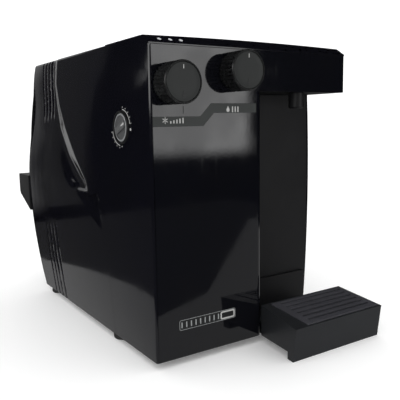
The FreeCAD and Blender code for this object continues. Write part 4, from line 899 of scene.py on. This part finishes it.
def build_dial_prints():
    """The printed scale round the thermostat dial: two arcs, ticks and dots that grow."""
    shape = bpy.context.scene.dispenser_shape
    low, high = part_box("thermostat_bezel")
    cy, cz = (low.y + high.y) / 2, (low.z + high.z) / 2
    radius = (high.z - low.z) / 2
    place = on_side(side_tree())
    lift = shape.print_lift

    def at(angle, reach):
        """A point on the scale; 0 is up and positive turns towards the front."""
        turn = math.radians(angle)
        return cy - math.sin(turn) * reach, cz + math.cos(turn) * reach

    form = bmesh.new()
    reach = radius + 0.0016
    for first, last in ((8, 78), (188, 256)):
        places = [at(first + (last - first) * i / 14, reach) for i in range(15)]
        for a, b in zip(places, places[1:]):
            bar(form, a, b, 0.0009, place, lift)
    for angle in (8, 25, 43, 60, 78, 188, 205, 222, 239, 256):
        bar(form, at(angle, reach + 0.0024), at(angle, reach + 0.0031), 0.0010, place, lift)
    for angle, size in ((96, 0.0016), (174, 0.0008)):
        prism(form, circle_outline(size, 20, at(angle, reach + 0.0012)), place, lift)
    placed("dial_scale", form, "lens_white", "root", ink("white"))


def build_dial():
    """The silver dial: knurled rim, dished face, a grip bar across it and a wedge pointer."""
    low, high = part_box("thermostat_dial")
    radius = (high.z - low.z) / 2
    face, back = low.x, high.x
    rows = ((radius * 0.40, back, 0.0), (radius * 0.42, face + 0.0060, 0.0),
            (radius - 0.0010, face + 0.0058, 0.0), (radius - 0.0001, face + 0.0050, 0.6),
            (radius - 0.0001, face + 0.0026, 0.6),
            (radius - 0.0006, face + 0.0018, 0.0), (radius - 0.0014, face + 0.0014, 0.0),
            (radius - 0.0030, face + 0.0014, 0.0), (radius - 0.0036, face + 0.0024, 0.0),
            (radius * 0.30, face + 0.0030, 0.0))

    def knurl(i):
        return 0.0005 * (i % 3 == 0)

    form = turned(rows, 180, (low + high) / 2, Vector((1, 0, 0)), knurl)
    piece = placed("dial_body", form, "dial_silver", "thermostat", sharp=35)
    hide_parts("thermostat_dial")

    turn = math.radians(67)
    along = Vector((0, -math.sin(turn), math.cos(turn)))
    side = Vector((0, math.cos(turn), math.sin(turn)))
    centre = Vector((face + 0.0031, (low.y + high.y) / 2, (low.z + high.z) / 2))
    grip_height = 0.0030

    def place(u, v, h):
        """Places marks on the dial's face: across its grip, along it and above the face."""
        return centre + along * v + side * u - Vector((h, 0, 0))

    form = bmesh.new()
    half = radius - 0.0034
    prism(form, rounded_outline(-0.0042, 0.0042, -half, half, 0.0026), place, grip_height)
    top = [e for e in form.edges if all(v.co.x < face + 0.0003 for v in e.verts)]
    bmesh.ops.bevel(form, geom=top, offset=0.0006, affect="EDGES", segments=3, profile=0.5, material=-1)
    placed("dial_grip", form, "dial_silver", "thermostat", sharp=35)
    form = bmesh.new()
    foot, tip = half * 0.30, half * 0.94
    wedge = ((-0.0005, foot), (0.0005, foot), (0.0014, tip), (-0.0014, tip))
    prism(form, wedge, lambda u, v, h: place(u, v, h + grip_height), 0.0001)
    placed("dial_pointer", form, "lens_white", "thermostat", ink("white"))


# ---------------------------------------------------------------- marks on the front


def build_ribbon_icons():
    """Plain signs in the ribbon: a snowflake and a drop, each with level bars."""
    low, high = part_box("label_ribbon")
    place = on_front(low.y + MARK_GAP)
    lift = bpy.context.scene.dispenser_shape.print_lift
    inset = 0.0072
    form = bmesh.new()

    def level_bars(x, z, heights):
        for i, tall in enumerate(heights):
            left = x + 0.0042 * i
            bar(form, (left, z - 0.0030), (left, z - 0.0030 + tall), 0.0016, place, lift)

    x, z = 0.019 - HALF_WIDTH, low.z + inset
    for i in range(3):
        turn = math.radians(90 + 60 * i)
        reach = Vector((math.cos(turn), math.sin(turn))) * 0.0036
        bar(form, (x - reach.x, z - reach.y), (x + reach.x, z + reach.y), 0.0008, place, lift)
    level_bars(x + 0.0075, z, [0.0016 + 0.0009 * i for i in range(5)])
    x, z = 0.109 - HALF_WIDTH, high.z - inset
    round_part = [math.radians(a) for a in range(150, 391, 20)]
    drop = [(x + 0.0024 * math.cos(a), z - 0.0010 + 0.0024 * math.sin(a)) for a in round_part]
    prism(form, drop + [(x, z + 0.0042)], place, lift)
    level_bars(x + 0.0070, z, [0.0058] * 3)
    placed("ribbon_signs", form, "lens_white", "root", ink("white"))


def build_badge():
    """The badge's raised border, its pill and a row of plain bars."""
    low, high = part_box("badge_plate")
    place = on_front(low.y + MARK_GAP)
    split = high.x - 0.0235

    def frame_line(name, left, inset, width, radii, thick, tone):
        """A raised line round the badge, from left to its right end."""
        outlines = []
        for gap, radius in zip((inset, inset + width), radii):
            outlines.append(rounded_outline(left + gap, high.x - gap, low.z + gap, high.z - gap, radius))
        form = bmesh.new()
        ring(form, *outlines, place, thick)
        placed(name, form, "badge_grey", "root", ink(tone))

    frame_line("badge_border", low.x, 0.0, 0.0005, (0.0024, 0.0019), 0.00025, "grey")
    frame_line("badge_pill", split - 0.0012, 0.0012, 0.0018, (0.0022, 0.0012), 0.00030, "white")
    form = bmesh.new()
    middle = (low.z + high.z) / 2
    count = 9
    margin = 0.0035
    spacing = (split - low.x - 2 * margin) / (count - 1)
    for i in range(count):
        x = low.x + margin + i * spacing
        bar(form, (x, middle - 0.0030), (x, middle + 0.0030), 0.0016, place, 0.0003)
    placed("badge_bars", form, "badge_grey", "root", ink("grey"))


def build_panel_marks():
    """The small tick under the chilled tap."""
    low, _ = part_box("front_panel")
    place = on_front(low.y + MARK_GAP)
    x = 0.044 - HALF_WIDTH
    form = bmesh.new()
    bar(form, (x, 0.311), (x, 0.319), 0.0010, place, 0.00015)
    placed("panel_tick", form, "panel_black", "root", ink("dark"))


# ---------------------------------------------------------------- operators


class DISPENSER_OT_finishes(bpy.types.Operator):
    """Give every CAD node the finish of its slot"""

    bl_idname = "dispenser.finishes"
    bl_label = "Finishes"

    def execute(self, context):
        for name, node in frame["nodes"].items():
            node.data.materials.clear()
            node.data.materials.append(finish_of(slot_of(name)))
        return {"FINISHED"}


class DISPENSER_OT_casing(bpy.types.Operator):
    """Build the front shell, the rear shell with its side relief, the back and the base"""

    bl_idname = "dispenser.casing"
    bl_label = "Casing"

    def execute(self, context):
        softened("front_shell", 0.0006, broad=front_rim, broad_bevel=0.0024)
        build_rear_casing()
        softened("back_cover", 0.0014, 3)
        softened("rear_spacer", 0.0012, 3)
        softened("base_plate", 0.0006)
        return {"FINISHED"}


class DISPENSER_OT_front(bpy.types.Operator):
    """Build the front panel, the control strip, the head and the cup bay"""

    bl_idname = "dispenser.front"
    bl_label = "Front and bay"

    def execute(self, context):
        softened("front_panel", 0.0014, 3)
        softened("control_strip", 0.0008, 3)
        softened("bay_liner", 0.0010, 3)
        softened("bay_plinth", 0.0008)
        softened("head_soffit", 0.0005)
        softened("spout", 0.0008, 3)
        for node in ("label_ribbon", "badge_plate", "indicator_lenses"):
            softened(node, 0.0001)
        return {"FINISHED"}


class DISPENSER_OT_knobs(bpy.types.Operator):
    """Build the two tap knobs with their faces and marks"""

    bl_idname = "dispenser.knobs"
    bl_label = "Knobs"

    def execute(self, context):
        for node, body in (("cold_knob", "chilled_tap"), ("room_knob", "natural_tap")):
            build_knob(node, body)
            build_cap(node + "_cap", body)
            build_knob_marks(node + "_cap", body)
        return {"FINISHED"}


class DISPENSER_OT_thermostat(bpy.types.Operator):
    """Build the thermostat's bezel, dial and printed scale"""

    bl_idname = "dispenser.thermostat"
    bl_label = "Thermostat"

    def execute(self, context):
        softened("thermostat_bezel", 0.0007, 3)
        build_dial()
        build_dial_prints()
        return {"FINISHED"}


class DISPENSER_OT_tray(bpy.types.Operator):
    """Build the drip tray, its grille and the feet"""

    bl_idname = "dispenser.tray"
    bl_label = "Tray and feet"

    def execute(self, context):
        softened("drip_tray", 0.0010, 3)
        softened("drip_grille", 0.0006)
        softened("feet", 0.0012, 3)
        return {"FINISHED"}


class DISPENSER_OT_marks(bpy.types.Operator):
    """Lay the signs on the ribbon, the badge and the panel"""

    bl_idname = "dispenser.marks"
    bl_label = "Marks"

    def execute(self, context):
        build_ribbon_icons()
        build_badge()
        build_panel_marks()
        return {"FINISHED"}


# ---------------------------------------------------------------- stage


def glow(name, strength, soft=None, blotch=0.0):
    """The light of a card. Soft holds the margins that fade it out, at u 0, u 1, v 0 and v 1."""
    paint = Paint(name)
    power = strength
    if soft:
        uv = paint.node("ShaderNodeUVMap", {"uv_map": "card"})
        u, v = paint.axis("X", uv), paint.axis("Y", uv)
        left, right, low, high = soft
        power = (paint.spread(u, 0.0, left) * (1 - paint.spread(u, 1 - right, 1.0))
                 * paint.spread(v, 0.0, low) * (1 - paint.spread(v, 1 - high, 1.0)) * strength)
    if blotch:
        power = power * (1 - blotch / 2 + blotch * paint.spread(paint.noise(7.0, 2.0), 0.35, 0.65))
    return paint.closed(paint.node("ShaderNodeEmission", None, {"Color": WHITE, "Strength": power}))


def card(name, corners, material):
    """A flat stage card seen only in reflections. Its first four corners run round from u 0, v 0."""
    form = bmesh.new()
    layer = form.loops.layers.uv.new("card")
    face = form.faces.new([form.verts.new(c) for c in corners])
    for loop, uv in zip(face.loops, ((0, 0), (1, 0), (1, 1), (0, 1))):
        loop[layer].uv = uv
    piece = linked(name, form, material)
    piece.visible_camera = False
    piece.visible_diffuse = False
    piece.visible_transmission = False
    piece.visible_shadow = False
    piece.visible_volume_scatter = False
    return piece


def reflection_cards(stage):
    """The dark studio with its few bright areas, as the polished casing shows it."""
    dark = glow("dark_card", 0.0)
    dim = glow("dim_card", 0.05)
    lit_floor = glow("lit_floor_card", stage.floor_glow)
    shadow_floor = glow("shadow_floor_card", 0.05)
    left, right, front, back, top = -1.0, 0.80, -1.35, 0.80, 1.5
    far = 2.6

    def upright(x0, y0, x1, y1, low, high):
        return ((x0, y0, low), (x1, y1, low), (x1, y1, high), (x0, y0, high))

    def lying(points, level):
        return [(x, y, level) for x, y in points]

    return [
        card("dark_left", upright(left, back, left, front, 0.0, top), dark),
        card("dark_right", upright(right, front, right, back, 0.0, top), dark),
        card("dark_back", upright(right, back, left, back, 0.0, top), dark),
        card("dark_front", upright(left, front, far, front, 0.0, top), dark),
        card("dim_back", upright(-0.34, back - 0.01, -0.55, back - 0.01, 0.05, 1.0), dim),
        card("shadow_floor", lying(((-2.0, -2.0), (far, -2.0), (far, 2.0), (-2.0, 2.0)), 0.0004),
             shadow_floor),
        card("lit_floor", lying((
            (-0.38, -0.31), (-0.072, -0.37), (0.066, -0.43), (0.583, -0.97), (1.5, -0.97), (1.5, 1.2),
            (-0.19, 1.2), (-0.212, 0.379), (-0.32, 0.054)), 0.0008), lit_floor),
        card("bright_front", upright(0.28, -1.21, 0.80, -1.21, 0.165, 0.62),
             glow("front_glow", stage.front_card, (0.05, 0.10, 0.12, 0.10), 0.35)),
        card("bright_side", ((-0.94, 0.79, 0.49), (-0.79, 0.79, 0.44), (-0.81, 0.79, 0.55),
                             (-0.94, 0.79, 0.68)), glow("side_glow", stage.side_card)),
        card("bright_edge", upright(-0.95, 0.30, -0.95, -1.25, 0.31, 0.90),
             glow("edge_glow", stage.edge_card, (0.15, 0.15, 0.10, 0.10))),
        card("bright_back", upright(0.25, 0.77, -0.36, 0.77, 0.02, 0.75),
             glow("back_glow", stage.back_card, (0.10, 0.10, 0.10, 0.10))),
    ]


def pale_floor():
    """The floor's material, which also shines a little."""
    paint = Paint("pale_floor")
    return paint.finish(
        Base_Color=paint.blend(paint.noise(6.0, 3.0), (0.93, 0.93, 0.93, 1.0), (0.95, 0.95, 0.95, 1.0)),
        Roughness=0.85,
        Emission_Color=WHITE,
        Emission_Strength=0.12,
    )


def camera_pose(stage):
    """The camera's place and turn: yaw and pitch aim it, and roll tilts it about its own axis."""
    yaw, pitch, roll = -stage.yaw, stage.pitch, stage.roll
    back = Vector((math.sin(yaw) * math.cos(pitch), -math.cos(yaw) * math.cos(pitch), math.sin(pitch)))
    right = (-back).cross(Vector((0, 0, 1))).normalized()
    up = right.cross(-back)
    tilted_right = math.cos(roll) * right - math.sin(roll) * up
    tilted_up = math.sin(roll) * right + math.cos(roll) * up
    turn = Matrix((tilted_right, tilted_up, back)).transposed()
    return Matrix.Translation(Vector(stage.position)) @ turn.to_4x4()


class DISPENSER_OT_stage(bpy.types.Operator):
    """Set the floor, the soft light, the reflection cards and the camera"""

    bl_idname = "dispenser.stage"
    bl_label = "Stage"

    def execute(self, context):
        scene = context.scene
        stage = scene.dispenser_stage
        world = bpy.data.worlds.new("studio")
        world.use_nodes = True
        sky = world.node_tree.nodes["Background"]
        sky.inputs["Color"].default_value = WHITE
        sky.inputs["Strength"].default_value = stage.sky
        scene.world = world
        world.cycles_visibility.glossy = False

        form = bmesh.new()
        bmesh.ops.create_grid(form, x_segments=2, y_segments=2, size=6.0)
        floor = linked("floor", form, pale_floor())
        walls = reflection_cards(stage)

        lens = bpy.data.cameras.new("camera")
        lens.lens = stage.focal
        lens.sensor_width = 36.0
        lens.clip_start = 0.01
        camera = bpy.data.objects.new("camera", lens)
        scene.collection.objects.link(camera)
        camera.matrix_world = camera_pose(stage)
        scene.camera = camera
        scene.view_settings.view_transform = "Standard"
        return {"FINISHED"}


BUILDERS = (
    DISPENSER_OT_finishes, DISPENSER_OT_casing, DISPENSER_OT_front, DISPENSER_OT_knobs,
    DISPENSER_OT_thermostat, DISPENSER_OT_tray, DISPENSER_OT_marks, DISPENSER_OT_stage,
)


class DISPENSER_PT_panel(bpy.types.Panel):
    """Buttons and settings of the dispenser"""

    bl_label = "Dispenser"
    bl_idname = "DISPENSER_PT_panel"
    bl_space_type = "VIEW_3D"
    bl_region_type = "UI"
    bl_category = "Dispenser"

    def draw(self, context):
        for builder in BUILDERS:
            self.layout.operator(builder.bl_idname)
        for name, group in SETTINGS:
            box = self.layout.box()
            for key in group.__annotations__:
                box.prop(getattr(context.scene, name), key)


def register():
    for name, group in SETTINGS:
        bpy.utils.register_class(group)
        setattr(bpy.types.Scene, name, bpy.props.PointerProperty(type=group))
    for kind in (*BUILDERS, DISPENSER_PT_panel):
        bpy.utils.register_class(kind)


def unregister():
    for kind in (DISPENSER_PT_panel, *reversed(BUILDERS)):
        bpy.utils.unregister_class(kind)
    for name, group in reversed(SETTINGS):
        delattr(bpy.types.Scene, name)
        bpy.utils.unregister_class(group)


def main():
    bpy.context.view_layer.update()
    register()
    bpy.ops.dispenser.finishes()
    bpy.ops.dispenser.casing()
    bpy.ops.dispenser.front()
    bpy.ops.dispenser.knobs()
    bpy.ops.dispenser.thermostat()
    bpy.ops.dispenser.tray()
    bpy.ops.dispenser.marks()
    bpy.ops.dispenser.stage()


if __name__ == "__main__":
    main()
